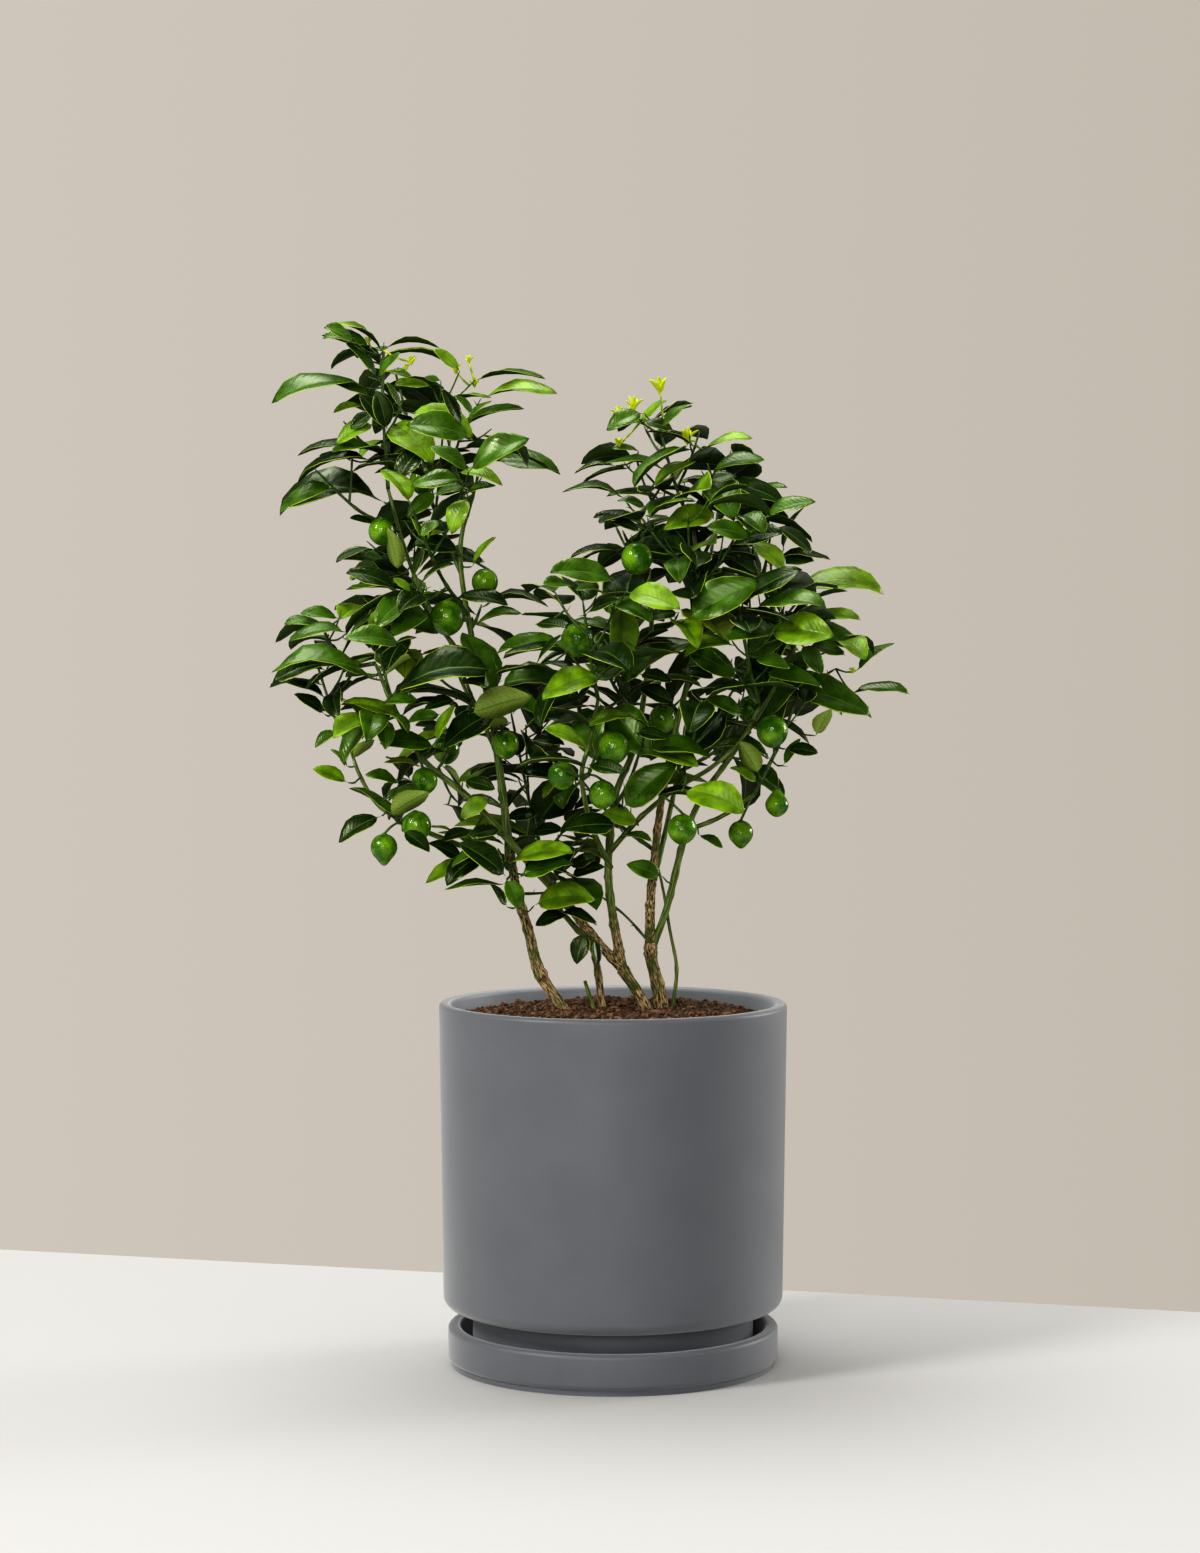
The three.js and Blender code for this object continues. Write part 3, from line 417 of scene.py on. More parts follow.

# Leading leaves, which give the crown its outline: in the plane of the pot's middle, seen from the
# front, the place of the stalk and of the tip, how far the leaf bends down, how far its upper
# side turns to the front (below 0: its underside shows, painted pale as painted light), and which
# blade finish it has. The fresh finish stands partly for a painted sheen, the old one partly for
# painted shade.
LEADING = [
    (-86, 517, -162, 502, 1.3, 0.7, 1), (-184, 729, -254, 717, 1, 0.3, 0),
    (-171, 644, -248, 638, 1.5, 0.5, 1), (-181, 683, -235, 678, 0.8, 0.3, 1),
    (-175, 736, -199, 763, 0.5, 0.6, 0), (-175, 736, -158, 755, 0.5, 0.8, 0),
    (-193, 761, -215, 773, 1.2, 0.8, 0), (-170, 758, -129, 758, 0.9, 0.1, 0),
    (-98, 721, -41, 724, 0.7, 0.3, 2), (-103, 734, -50, 735, 0.7, 0.1, 0),
    (-89, 675, -39, 664, 0.9, 0.7, 0), (-108, 666, -62, 691, 0.8, 0.8, 0),
    (-116, 666, -82, 656, 0.8, 0.5, 2), (-105, 691, -154, 701, 0.9, 1, 0),
    (-167, 698, -189, 724, 0.6, 1, 1), (-105, 596, -87, 618, 0.4, 0.6, 2),
    (-181, 675, -235, 657, 1.2, 0.3, 1), (8, 647, -38, 651, 1, 0.3, 1),
    (6, 606, -32, 602, 1, 0.3, 1), (24, 626, -15, 632, 0.8, 0.4, 1),
    (111, 631, 151, 644, 0.6, 0.5, 0), (121, 602, 162, 601, 0.7, 0.3, 1),
    (136, 577, 202, 575, 1.2, 0.5, 2), (143, 556, 185, 556, 0.8, 0.4, 2),
    (181, 518, 210, 539, 0.5, 0.5, 0), (179, 502, 221, 501, 0.7, 0.3, 0),
    (122, 504, 193, 483, 0.9, 0.7, 0), (37, 707, 59, 715, 0.4, 0.4, 0),
    (73, 667, 113, 675, 0.8, 0.5, 0), (67, 683, 104, 691, 0.6, 0.3, 2),
    (-181, 514, -255, 517, 1.2, 0.5, 0), (-216, 552, -245, 553, 0.9, 0.4, 0),
    (-198, 547, -242, 539, 0.9, 0.4, 0), (-168, 599, -206, 602, 0.9, 0.6, 0),
    (-160, 577, -199, 591, 0.9, 0.6, 1), (-173, 410, -205, 390, 0.7, 0.7, 1),
    (-81, 359, -126, 355, 0.3, 0.1, 0), (-59, 343, -13, 347, 1.3, 0.9, 2),
    (-80, 363, -70, 340, 0.7, 0.9, 0), (37, 365, 10, 374, 0.5, 1.2, 0),
    (54, 556, 109, 585, 0.5, 1.1, 0), (78, 636, 37, 623, 0.7, 1, 2),
    (103, 617, 69, 625, 0.6, 0.9, 0), (6, 523, 5, 574, 0.3, 1.1, 2),
    (2, 585, -47, 591, 0.8, 0.85, 0), (9, 577, 50, 564, 0.6, 0.95, 2),
    (-8, 514, -53, 496, 1, 0.8, 2), (-86, 488, -126, 461, 0.9, 1, 1),
    (54, 533, 91, 512, 0.9, 0.9, 0), (24, 461, 73, 453, 0.9, 0.6, 0),
    (6, 415, 48, 450, 0.5, 1.2, 0), (-17, 460, -52, 475, 0.7, 0.8, 2),
    (19, 404, -8, 412, 0.8, 1, 2), (51, 428, 98, 412, 1, 0.8, 2),
    (-79, 364, -116, 390, 0.7, 0.9, 1), (-70, 364, -29, 374, 0.7, 0.7, 0),
    (-92, 423, -113, 408, 0.9, 1, 2), (109, 441, 94, 466, 0.3, -1.1, 0),
    (-108, 486, -60, 500, 0.4, -1.1, 0), (-21, 323, -27, 299, 0.3, 0.9, 1),
    (-40, 338, -12, 328, 0.8, 0.4, 1), (-114, 741, -134, 757, 0.5, 0.9, 2),
    (-152, 710, -104, 692, 0.9, 1, 2), (-168, 697, -176, 727, 0.3, 1.1, 1),
    (-134, 728, -163, 730, 0.7, 0.5, 2), (-138, 686, -160, 660, 0.8, 0.9, 1),
    (-112, 660, -150, 655, 0.7, 0.8, 0), (-114, 606, -149, 612, 0.9, 0.8, 1),
    (-160, 592, -168, 625, 0.4, -1, 0), (-186, 556, -130, 546, 1.2, 0.6, 0),
    (39, 668, -9, 671, 0.8, 0.3, 0), (28, 655, 62, 674, 0.5, 0.6, 2),
    (37, 645, -5, 648, 0.8, 0.3, 1), (81, 655, 126, 642, 0.9, 0.5, 1),
    (4, 403, -37, 400, 0.7, 0.95, 1), (127, 448, 140, 468, 0.3, 0.9, 0),
    (151, 470, 163, 490, 0.3, -0.9, 0), (-214, 498, -246, 510, 0.6, 0.4, 1),
    (-215, 486, -238, 501, 0.6, 0.8, 1), (-214, 490, -194, 511, 0.4, 0.7, 1),
    (-159, 481, -203, 493, 0.9, 0.5, 2), (-180, 486, -209, 468, 0.7, 0.7, 2),
    (-156, 469, -187, 472, 0.6, 0.3, 2), (-132, 460, -174, 464, 0.9, 0.6, 0),
    (-133, 465, -117, 494, 0.4, 0.8, 2), (-159, 434, -185, 441, 0.7, 0.6, 0),
    (-168, 410, -137, 428, 0.5, -0.9, 0), (-198, 435, -224, 445, 0.6, 0.8, 2),
    (-198, 447, -211, 460, 0.4, 0.6, 2), (-194, 453, -178, 467, 0.4, -0.6, 0),
    (-143, 447, -171, 450, 0.5, 0.3, 3), (-157, 399, -137, 383, 0.5, 0.9, 1),
    (-112, 377, -138, 390, 0.7, 0.9, 1), (-120, 399, -136, 402, 0.4, 0.2, 2),
    (-180, 758, -216, 765, 1, 0.6, 0), (-196, 768, -213, 775, 0.6, 0.9, 0),
    (-148, 736, -167, 740, 0.5, 0.7, 0), (-128, 734, -140, 736, 0.4, 0.9, 0),
    (-186, 715, -208, 710, 0.7, 0.5, 2), (23, 710, -5, 697, 0.8, 0.9, 0),
    (46, 697, 22, 703, 0.6, 0.9, 1), (62, 684, 25, 696, 0.8, 0.3, 1),
    (19, 682, -1, 683, 0.5, 0.5, 0), (2, 671, -29, 665, 0.8, 0.3, 1),
    (120, 626, 148, 605, 0.6, 0.5, 1), (101, 614, 129, 591, 0.8, 0.7, 2),
    (105, 563, 159, 565, 1, 0.5, 0), (118, 545, 84, 540, 0.8, 0.7, 0),
    (137, 547, 186, 532, 0.9, 0.6, 0), (140, 538, 155, 515, 0.5, 0.9, 0),
    (98, 484, 69, 498, 0.7, 0.8, 0), (108, 435, 87, 446, 0.5, 0.8, 2),
    (-149, 587, -140, 610, 0.4, 0.9, 1), (-143, 584, -118, 598, 0.7, 0.4, 1),
    (-150, 577, -164, 587, 0.5, 0.9, 2), (-118, 572, -78, 567, 0.7, 0.5, 1),
    (-104, 552, -68, 561, 0.7, 0.3, 0), (-157, 538, -200, 542, 0.8, 0.9, 0),
    (-149, 529, -171, 514, 0.5, -0.9, 0), (-90, 530, -42, 541, 0.5, 0.4, 0),
    (-58, 523, -38, 545, 0.4, 0.9, 1), (-90, 514, -52, 520, 0.6, 0.2, 1),
    (-171, 564, -187, 574, 0.5, 0.9, 1), (-14, 318, -12, 299, 0.3, 0.9, 1),
    (-33, 372, -12, 380, 0.4, 1, 1), (64, 396, 82, 386, 0.5, 0.4, 0),
    (4, 394, 29, 391, 0.8, 0.2, 0), (-131, 651, -153, 631, 0.6, 0.9, 0),
    (-108, 648, -120, 620, 0.6, 0.8, 2), (-107, 667, -137, 685, 0.6, 0.8, 0),
    (-178, 628, -196, 632, 0.5, 0.6, 1), (-129, 631, -143, 618, 0.5, 0.8, 0),
    (-177, 702, -206, 687, 0.6, 0.8, 2), (-178, 710, -195, 698, 0.5, 0.9, 1),
    (-113, 700, -128, 728, 0.5, 0.9, 1), (-109, 703, -90, 719, 0.6, 0.6, 0),
    (-4, 575, -28, 578, 0.6, 0.5, 0), (-76, 480, -101, 477, 0.5, -0.9, 0),
    (18, 506, 44, 494, 0.5, 0.8, 1), (-112, 436, -88, 430, 0.5, 0.8, 1),
    (-62, 467, -36, 463, 0.5, 0.8, 1), (120, 597, 150, 600, 0.6, 0.5, 0),
    (-18, 448, 8, 441, 0.5, 0.8, 1), (-32, 365, -6, 372, 0.5, 0.8, 1),
    (-62, 397, -37, 400, 0.5, 0.8, 1), (-180, 721, -206, 731, 0.6, 0.6, 0),
    (-110, 656, -132, 648, 0.5, 0.7, 0), (-20, 561, 5, 571, 0.4, 0.8, 1),
    (-204, 557, -233, 561, 0.7, 0.6, 0), (104, 529, 132, 520, 0.5, 0.8, 0),
    (20, 703, 40, 719, 0.5, 0.7, 2), (-113, 511, -92, 506, 0.5, 0.8, 1),
    (-145, 496, -172, 494, 0.6, 0.7, 0), (-79, 342, -92, 360, 0.4, 0.9, 0),
    (-158, 713, -169, 733, 0.5, 0.8, 0), (145, 537, 173, 530, 0.6, 0.7, 0),
    (-214, 519, -243, 520, 0.7, 0.5, 0), (-105, 399, -128, 391, 0.5, 0.7, 1),
    (-33, 337, -58, 328, 0.6, 0.6, 1), (-70, 444, -42, 440, 0.5, 0.8, 1),
    (-128, 486, -154, 480, 0.5, 0.8, 0), (-58, 553, -34, 550, 0.4, 0.7, 1),
    (-117, 497, -141, 489, 0.5, 0.8, 1), (49, 562, 24, 556, 0.5, 0.8, 1),
    (19, 516, 44, 510, 0.4, 0.8, 1), (-83, 400, -108, 394, 0.5, 0.8, 1),
    (17, 472, 42, 467, 0.5, 0.8, 1), (-55, 412, -79, 408, 0.5, 0.8, 1),
    (-28, 580, -52, 583, 0.5, 0.6, 0), (-103, 707, -118, 723, 0.5, 0.8, 0),
    (36, 699, 53, 715, 0.5, 0.8, 0), (67, 658, 92, 663, 0.5, 0.8, 1),
    (51, 520, 75, 513, 0.5, 0.8, 1), (129, 460, 153, 457, 0.5, 0.8, 1),
    (-109, 652, -87, 656, 0.5, 0.7, 0), (21, 622, -1, 629, 0.5, 0.8, 1),
    (-206, 474, -222, 461, 0.5, 0.7, 0), (25, 640, 3, 645, 0.5, 0.8, 1),
]

# How far in depth a leading leaf may stand from the twig that carries it, in the order tried: for
# a leaf that shows its whole face, and for the others.
FORWARD = (-20, -30, -12, -40, 0, 8, -50)
BESIDE = (0, -8, 8, -16, -24, 16, -34, -44)

# Bare twigs low on the stems, as points each passes through.
BARE_TWIGS = [
    [(29, 4, 313), (10, 10, 334), (-10, 14, 350)],
    [(-76, -2, 352), (-52, 8, 352), (-30, 14, 356)],
]

# Gaps in the crown: the middle and radius of each, in the same view.
GAPS = [
    (-63, 639, 22), (-34, 699, 22), (-19, 726, 20), (-36, 628, 18), (-68, 610, 16), (9, 744, 18),
    (60, 740, 18), (85, 723, 22), (-222, 624, 20), (-238, 583, 20), (186, 611, 20), (143, 674, 20),
    (-243, 478, 18), (178, 466, 20), (154, 600, 10), (134, 443, 10), (-241, 682, 10),
    (163, 628, 14), (-208, 404, 8), (-28, 612, 10), (14, 344, 12), (-45, 330, 10), (68, 347, 22),
    (58, 378, 9), (-92, 322, 26), (12, 318, 10), (46, 330, 6), (36, 390, 11), (34, 366, 12),
    (-150, 779, 14), (-196, 741, 8), (-60, 756, 16), (-72, 700, 8), (-92, 632, 12), (-129, 588, 9),
    (-222, 701, 9), (-168, 775, 10), (-150, 768, 7), (-208, 425, 9), (-34, 684, 12), (-32, 655, 8),
    (-25, 640, 6), (-190, 415, 7), (-128, 428, 7), (-222, 470, 10), (7, 362, 5), (7, 378, 4),
    (-8, 716, 8), (0, 659, 5), (-64, 553, 5), (-69, 480, 4), (-137, 746, 5), (132, 486, 4),
    (2, 618, 4), (-196, 501, 4), (-131, 409, 4), (174, 527, 4), (178, 592, 4), (-103, 463, 4),
    (-94, 665, 4), (188, 517, 4), (-231, 736, 4), (-128, 722, 4), (13, 694, 4), (-179, 641, 4),
    (85, 533, 3), (-192, 617, 5), (84, 438, 4), (-198, 697, 4), (-185, 665, 4), (170, 550, 4),
    (120, 609, 3), (-75, 513, 3), (135, 474, 3), (109, 576, 3), (93, 432, 3), (-97, 700, 3),
    (106, 694, 3), (-158, 638, 3), (3, 600, 3), (-68, 529, 3), (-138, 744, 3), (-155, 750, 3),
]

# A leaf's blade in rows from its root to its tip, and in columns from margin to margin. Rows up
# to the second are the leaf stalk.
LEAF_ROWS = (0, 0.09, 0.15, 0.27, 0.44, 0.62, 0.79, 0.92, 1)
LEAF_COLUMNS = {
    1: (-1, -0.955, -0.5, -0.12, -0.035, 0.035, 0.12, 0.5, 0.955, 1),
    -1: (-1, -0.05, 0.05, 1),
}
BLADE, RIB, MARGIN, UNDER = range(4)

# Blade finishes, and the sprays of the rule: up to which draw they are old and mature, the rest
# being fresh, and the share of single leaves that turn yellow.
MATURE, OLD, FRESH, TINGED = range(4)
OLD_UP_TO, MATURE_UP_TO, TINGED_SHARE = 0.42, 0.82, 0.012

# How full the blade is towards its root and its tip; smaller is fuller.
LEAF_ROUND = (0.68, 0.95)

# In mm, half the breadth of the stalk and of the blade where it is least; and how far the skins
# of the stalk, the midrib above and below, and the blade stand from the leaf's middle. The midrib
# is a share of half the breadth.
HALF_STALK, HALF_LEAST = 0.7, 0.3
THICK = Values(stalk=0.65, rib=0.35, rib_below=0.55, blade=0.2)
RIB_SHARE = 0.1


def seeded(seed):
    """A source of numbers from 0 to 1 that gives the same ones each time."""
    state = [(seed * 2654435761) & 0xFFFFFFFF]

    def draw():
        state[0] = (state[0] * 1664525 + 1013904223) & 0xFFFFFFFF
        return state[0] / 4294967296

    draw()
    return draw


class Curve:
    """A smooth line through points, as the solids' limbs and twigs follow it."""

    def __init__(self, points):
        self.points = [Vector(p) for p in points]
        steps = [self.at(i / 40) for i in range(41)]
        self.length = sum((b - a).length for a, b in zip(steps, steps[1:]))

    def at(self, t):
        """The place at a share of the way."""
        points = self.points
        place = min(max(t, 0), 1) * (len(points) - 1)
        i = min(int(place), len(points) - 2)
        w = place - i
        start, end = points[i], points[i + 1]
        before = points[i - 1] if i else 2 * points[0] - points[1]
        after = points[i + 2] if i + 2 < len(points) else 2 * points[-1] - points[-2]
        pull, push = (end - before) / 2, (after - start) / 2
        return (
            (2 * start - 2 * end + pull + push) * w**3
            + (3 * end - 3 * start - 2 * pull - push) * w**2
            + pull * w
            + start
        )

    def tangent(self, t):
        """The direction at a share of the way."""
        return (self.at(min(t + 1e-3, 1)) - self.at(max(t - 1e-3, 0))).normalized()

    def share_at_height(self, height):
        """The share of the way at which the curve first reaches a height."""
        return next((i / 200 for i in range(201) if self.at(i / 200).z >= height), 1)


def outward(along, azimuth):
    """The direction out from a line, at an angle round it."""
    reference = UP if abs(along.z) < 0.9 else Vector((0, 1, 0))
    across = reference.cross(along).normalized()
    return across * math.cos(azimuth) + along.cross(across) * math.sin(azimuth)


def sagging(start, end, share):
    """The middle of a line that hangs down between two places, by a share of its length."""
    return start.lerp(end, 0.5) - UP * share * (end - start).length


def varied(draws, random):
    """A number drawn from a least one and how much more it may be."""
    least, more = draws
    return least + more * random()


class Twig:
    """A twig of one kind along a curve."""

    def __init__(self, points, length, kind, owner):
        self.curve = Curve(points)
        self.length, self.owner = length, owner
        self.radius, self.tip, self.bare = kind.radius, kind.tip, kind.bare

    def radii(self, rings):
        """Its radius ring by ring."""
        return self.radius + (self.tip - self.radius) * np.linspace(0, 1, rings + 1)

    def tube(self, sides=6, step=7):
        """Its shape, as points and faces."""
        rings = max(3, round(self.length / step))
        return tube(self.curve, self.radii(rings), sides, rings)


def side_twig(parent, place, azimuth, spread, reach, kind):
    """A twig that leaves its parent at an angle, and rises a little from its knee on."""
    along = parent.curve.tangent(place)
    heading = along * math.cos(spread) + outward(along, azimuth) * math.sin(spread)
    root = parent.curve.at(place)
    knee = root + heading * reach * 0.5
    end = knee + heading * reach * kind.beyond + UP * reach * TWIG_RISE
    return Twig([root, knee, end], reach, kind, parent.owner)


def twigs_of(name, limbs, random):
    """The stem of a mass and its side twigs."""
    limb, height, tip, count, _ = MASSES[name]
    curve = limbs[limb]
    start = curve.at(curve.share_at_height(height) if height else 1)
    tip = Vector(tip)
    length = (tip - start).length
    stem = Twig([start, sagging(start, tip, STEM.sag), tip], length, STEM, name)
    twigs = [stem]
    azimuth = random() * math.tau
    for i in range(count):
        place = SIDE_FROM + SIDE_OVER * (i + random() * SIDE_STRAY) / count
        spread = varied(SIDE.spread, random)
        size = length * varied(SIDE_LENGTH, random)
        azimuth += GOLDEN_ANGLE
        reach = min(max(size, SIDE.shortest), SIDE.longest)
        twigs.append(side_twig(stem, place, azimuth, spread, reach, SIDE))
    return twigs


def spurs_of(twig, random):
    """The finer twigs that a twig of the solids carries."""
    first = twig.bare * SPUR_FROM
    count = max(1, round(twig.length * (1 - first) / SPUR_APART))
    azimuth = random() * math.tau
    spurs = []
    for i in range(count):
        place = first + (1 - first) * (i + SPUR_START + SPUR_STRAY * random()) / count
        spread = varied(SPUR.spread, random)
        reach = SPUR.shortest + (SPUR.longest - SPUR.shortest) * random()
        azimuth += GOLDEN_ANGLE
        spurs.append(side_twig(twig, place, azimuth, spread, reach, SPUR))
    return spurs


def leaf_slots(twig, random, smaller=1.0):
    """The places for leaves along a twig, each with its size and set."""
    count = max(2, round_half_up(twig.length * (1 - twig.bare) / INTERNODE)) + 1
    azimuth = random() * math.tau
    slots = []
    for i in range(count):
        share = min(1 - LEAF_FROM_TIP / twig.length, twig.bare + (1 - twig.bare) * i / (count - 1))
        azimuth += GOLDEN_ANGLE
        slot = dict(twig=twig, share=share, azimuth=azimuth)
        slot["size"] = varied(LEAF_DRAWS.size, random) * (1 - SMALLER_AT_TIP * share**3) * smaller
        slot["lift"] = varied(LEAF_DRAWS.lift, random)
        slot["bend"] = varied(LEAF_DRAWS.bend, random)
        slot["roll"] = (random() - 0.5) * LEAF_ROLL
        slot["fold"] = varied(LEAF_DRAWS.fold, random)
        slots.append(slot)
    return slots


def round_half_up(value):
    """The nearest whole number, the upper one for a half."""
    return math.floor(value + 0.5)


def leaf_at(slot, attempt, leaf_length):
    """The leaf that a slot gives on one try. Each try turns it on round its twig."""
    twig, share = slot["twig"], slot["share"]
    along = twig.curve.tangent(share)
    ahead = LEAF_AHEAD[0] + LEAF_AHEAD[1] * share
    heading = outward(along, slot["azimuth"] + attempt * TURN_PER_TRY) + along * ahead
    heading.z = heading.z * KEPT_RISE + slot["lift"] * LIFTED
    heading.normalize()
    upper = (UP - heading * heading.z).normalized()
    upper.rotate(Matrix.Rotation(slot["roll"], 3, heading))
    return dict(
        slot, root=twig.curve.at(share), heading=heading, upper=upper,
        length=leaf_length * slot["size"],
    )


@functools.lru_cache(maxsize=None)
def leaf_master():
    """A leaf as an upper and a lower skin that share their margin: its points as column, row
    and skin, its faces, and the finish of each face."""
    bm = bmesh.new()
    rows = len(LEAF_ROWS) - 1
    for skin, columns in LEAF_COLUMNS.items():
        strips = len(columns) - 1
        grid = bmesh.ops.create_grid(bm, x_segments=strips, y_segments=rows, size=0.5)
        for vert in grid["verts"]:
            u = columns[round((vert.co.x + 0.5) * strips)]
            v = LEAF_ROWS[round((vert.co.y + 0.5) * rows)]
            ends = v in (0, 1)
            vert.co = (0 if ends else u, v, 0 if ends or abs(u) == 1 else skin)
        if skin < 0:
            faces = list({face for vert in grid["verts"] for face in vert.link_faces})
            bmesh.ops.reverse_faces(bm, faces=faces)
    bmesh.ops.remove_doubles(bm, verts=bm.verts, dist=1e-4)
    bm.verts.ensure_lookup_table()
    points = np.array([vert.co for vert in bm.verts])
    faces, finishes = [], []
    for face in bm.faces:
        corners = [vert.index for vert in face.verts]
        u, v, skin = (points[corners, k].mean() for k in range(3))
        breadth = max(abs(points[corners, 0]))
        faces.append(corners)
        if v < LEAF_ROWS[1] or breadth < RIB_SHARE:
            finishes.append(RIB)
        elif skin < 0:
            finishes.append(UNDER)
        else:
            finishes.append(MARGIN if abs(u) > 0.9 else BLADE)
    bm.free()
    return points, faces, finishes


def blade_profile(share):
    """Half the breadth of a leaf at a share of its length, where its widest place is 1."""
    stalk = LEAF_ROWS[1]
    s = np.clip((share - stalk) / (1 - stalk), 0, 1)
    root, tip = LEAF_ROUND
    crest = root / (root + tip)
    return s**root * (1 - s) ** tip / (crest**root * (1 - crest) ** tip)


@functools.lru_cache(maxsize=None)
def blade_faces():
    """The faces of a leaf above its stalk, which are tried against what stands in the crown."""
    points, faces, _ = leaf_master()
    return [face for face in faces if points[face, 1].min() >= LEAF_ROWS[1]]


def leaf_points(leaf, width):
    """The points of a leaf that is folded along its midrib, bends down along its length, and
    waves and turns a little along its margins."""
    u, v, skin = leaf_master()[0].T
    length, bend = leaf["length"], leaf["bend"]
    angle = bend * v
    forward = np.sin(angle) / bend
    down = (1 - np.cos(angle)) / bend
    heading, upper = np.array(leaf["heading"]), np.array(leaf["upper"])
    side = np.cross(heading, upper)
    rib = np.array(leaf["root"]) + length * (np.outer(forward, heading) - np.outer(down, upper))
    above = np.outer(np.cos(angle), upper) + np.outer(np.sin(angle), heading)
    turn = leaf.get("twist", 0) * (v - 0.3)
    side, above = (
        np.cos(turn)[:, None] * side + np.sin(turn)[:, None] * above,
        np.cos(turn)[:, None] * above - np.sin(turn)[:, None] * side,
    )
    stalk = v <= LEAF_ROWS[1]
    half = np.where(stalk, HALF_STALK, length * width / 2 * blade_profile(v) + HALF_LEAST)
    half[v == 1] = 0
    reach = u * half
    wave = leaf.get("wave", 0) * length * np.sin(math.tau * (1.4 * v + leaf.get("phase", 0)))
    rise = np.abs(reach) * leaf["fold"] * (1 - 0.4 * u * u) + wave * u * u * ~stalk
    midrib = np.abs(u) < RIB_SHARE
    thick = np.where(stalk, THICK.stalk, np.where(midrib, THICK.rib, THICK.blade)) * skin
    thick = np.where(midrib & (skin < 0) & ~stalk, -THICK.rib_below, thick)
    return rib + side * reach[:, None] + above * (rise + thick)[:, None]


class Room:
    """What already stands in the crown, so that what would cross it can be skipped."""

    def __init__(self):
        self.low, self.high, self.trees, self.owners = [], [], [], []

    def take(self, points, faces, owner=None):
        """Notes that a shape stands here, and whose it is."""
        self.low.append(points.min(0))
        self.high.append(points.max(0))
        self.trees.append(BVHTree.FromPolygons(points.tolist(), faces))
        self.owners.append(owner)

    def is_free(self, points, faces, skipped=None):
        """Whether a shape crosses nothing but what the skipped owner has."""
        low, high = points.min(0), points.max(0)
        near = ((np.array(self.low) <= high) & (np.array(self.high) >= low)).all(1)
        found = [i for i in np.flatnonzero(near) if skipped is None or self.owners[i] != skipped]
        if not found:
            return True
        tree = BVHTree.FromPolygons(points.tolist(), faces)
        return not any(tree.overlap(self.trees[i]) for i in found)


def taken_from(bm):
    """The points and faces of a shape, which is then let go."""
    bm.verts.index_update()
    points = np.array([vert.co for vert in bm.verts])
    faces = [[vert.index for vert in face.verts] for face in bm.faces]
    bm.free()
    return points, faces


@functools.lru_cache(maxsize=None)
def tube_master(sides, rings):
    """A cylinder of unit radius and length, cut into rings: its points and faces."""
    bm = bmesh.new()
    bmesh.ops.create_cone(
        bm, cap_ends=True, cap_tris=False, segments=sides, radius1=1, radius2=1, depth=1
    )
    long_edges = [e for e in bm.edges if abs(e.verts[0].co.z - e.verts[1].co.z) > 0.5]
    bmesh.ops.subdivide_edges(bm, edges=long_edges, cuts=rings - 1, use_grid_fill=True)
    points, faces = taken_from(bm)
    points[:, 2] += 0.5
    return points, faces


def tube(curve, radii, sides, rings, swell=None):
    """A tube along a curve. The radii are given ring by ring, and swell adds relief to them from
    the angle round it and the length along it."""
    master, faces = tube_master(sides, rings)
    ring = np.round(master[:, 2] * rings).astype(int)
    centres = [curve.at(i / rings) for i in range(rings + 1)]
    across = outward(curve.tangent(0), 0)
    acrosses, overs = [], []
    for i in range(rings + 1):
        tangent = curve.tangent(i / rings)
        across = (across - tangent * across.dot(tangent)).normalized()
        acrosses.append(across.copy())
        overs.append(tangent.cross(across))
    radius = np.asarray(radii)[ring]
    if swell:
        angle = np.arctan2(master[:, 1], master[:, 0])
        radius = radius + swell(angle, master[:, 2] * curve.length, radius)
    points = (
        np.array(centres)[ring]
        + np.array(acrosses)[ring] * (master[:, 0] * radius)[:, None]
        + np.array(overs)[ring] * (master[:, 1] * radius)[:, None]
    )
    return points, faces


def as_seen(points):
    """Where points stand in the plane of the pot's middle, seen from the front."""
    points = np.asarray(points)
    scale = EYE[1] / (EYE[1] - points[..., 1])
    return EYE[[0, 2]] + (points[..., [0, 2]] - EYE[[0, 2]]) * scale[..., None]


def seen_at(place, depth):
    """The point at a depth that is seen at a place in the plane of the pot's middle."""
    scale = (EYE[1] - depth) / EYE[1]
    x, z = EYE[[0, 2]] + (np.array(place) - EYE[[0, 2]]) * scale
    return Vector((x, depth, z))


def faces_out(leaf):
    """Whether a leaf turns its underside no more than a little to the front or the back, whichever
    it stands on. In the middle of the crown it may turn its upper side only so far to either."""
    turn, depth = leaf["upper"].y, leaf["root"].y
    outwards = turn * (1 if depth > 0 else -1) > -TURNED.inward
    return outwards and (abs(depth) > TURNED.core or abs(turn) < TURNED.in_core)


def leaves_sky(points):
    """Whether points stay clear of the gaps in the crown."""
    seen = as_seen(points)
    return all(((seen - gap[:2]) ** 2).sum(1).min() > gap[2] ** 2 for gap in np.array(GAPS))


def keeps_view(points, shown):
    """Whether points leave each shown place, of a middle and a radius, open to the front."""
    seen, depth = as_seen(points), points[:, 1]
    for middle, radius in shown:
        before = depth < middle[1]
        if before.any() and ((seen[before] - as_seen(middle)) ** 2).sum(1).min() < radius**2:
            return False
    return True


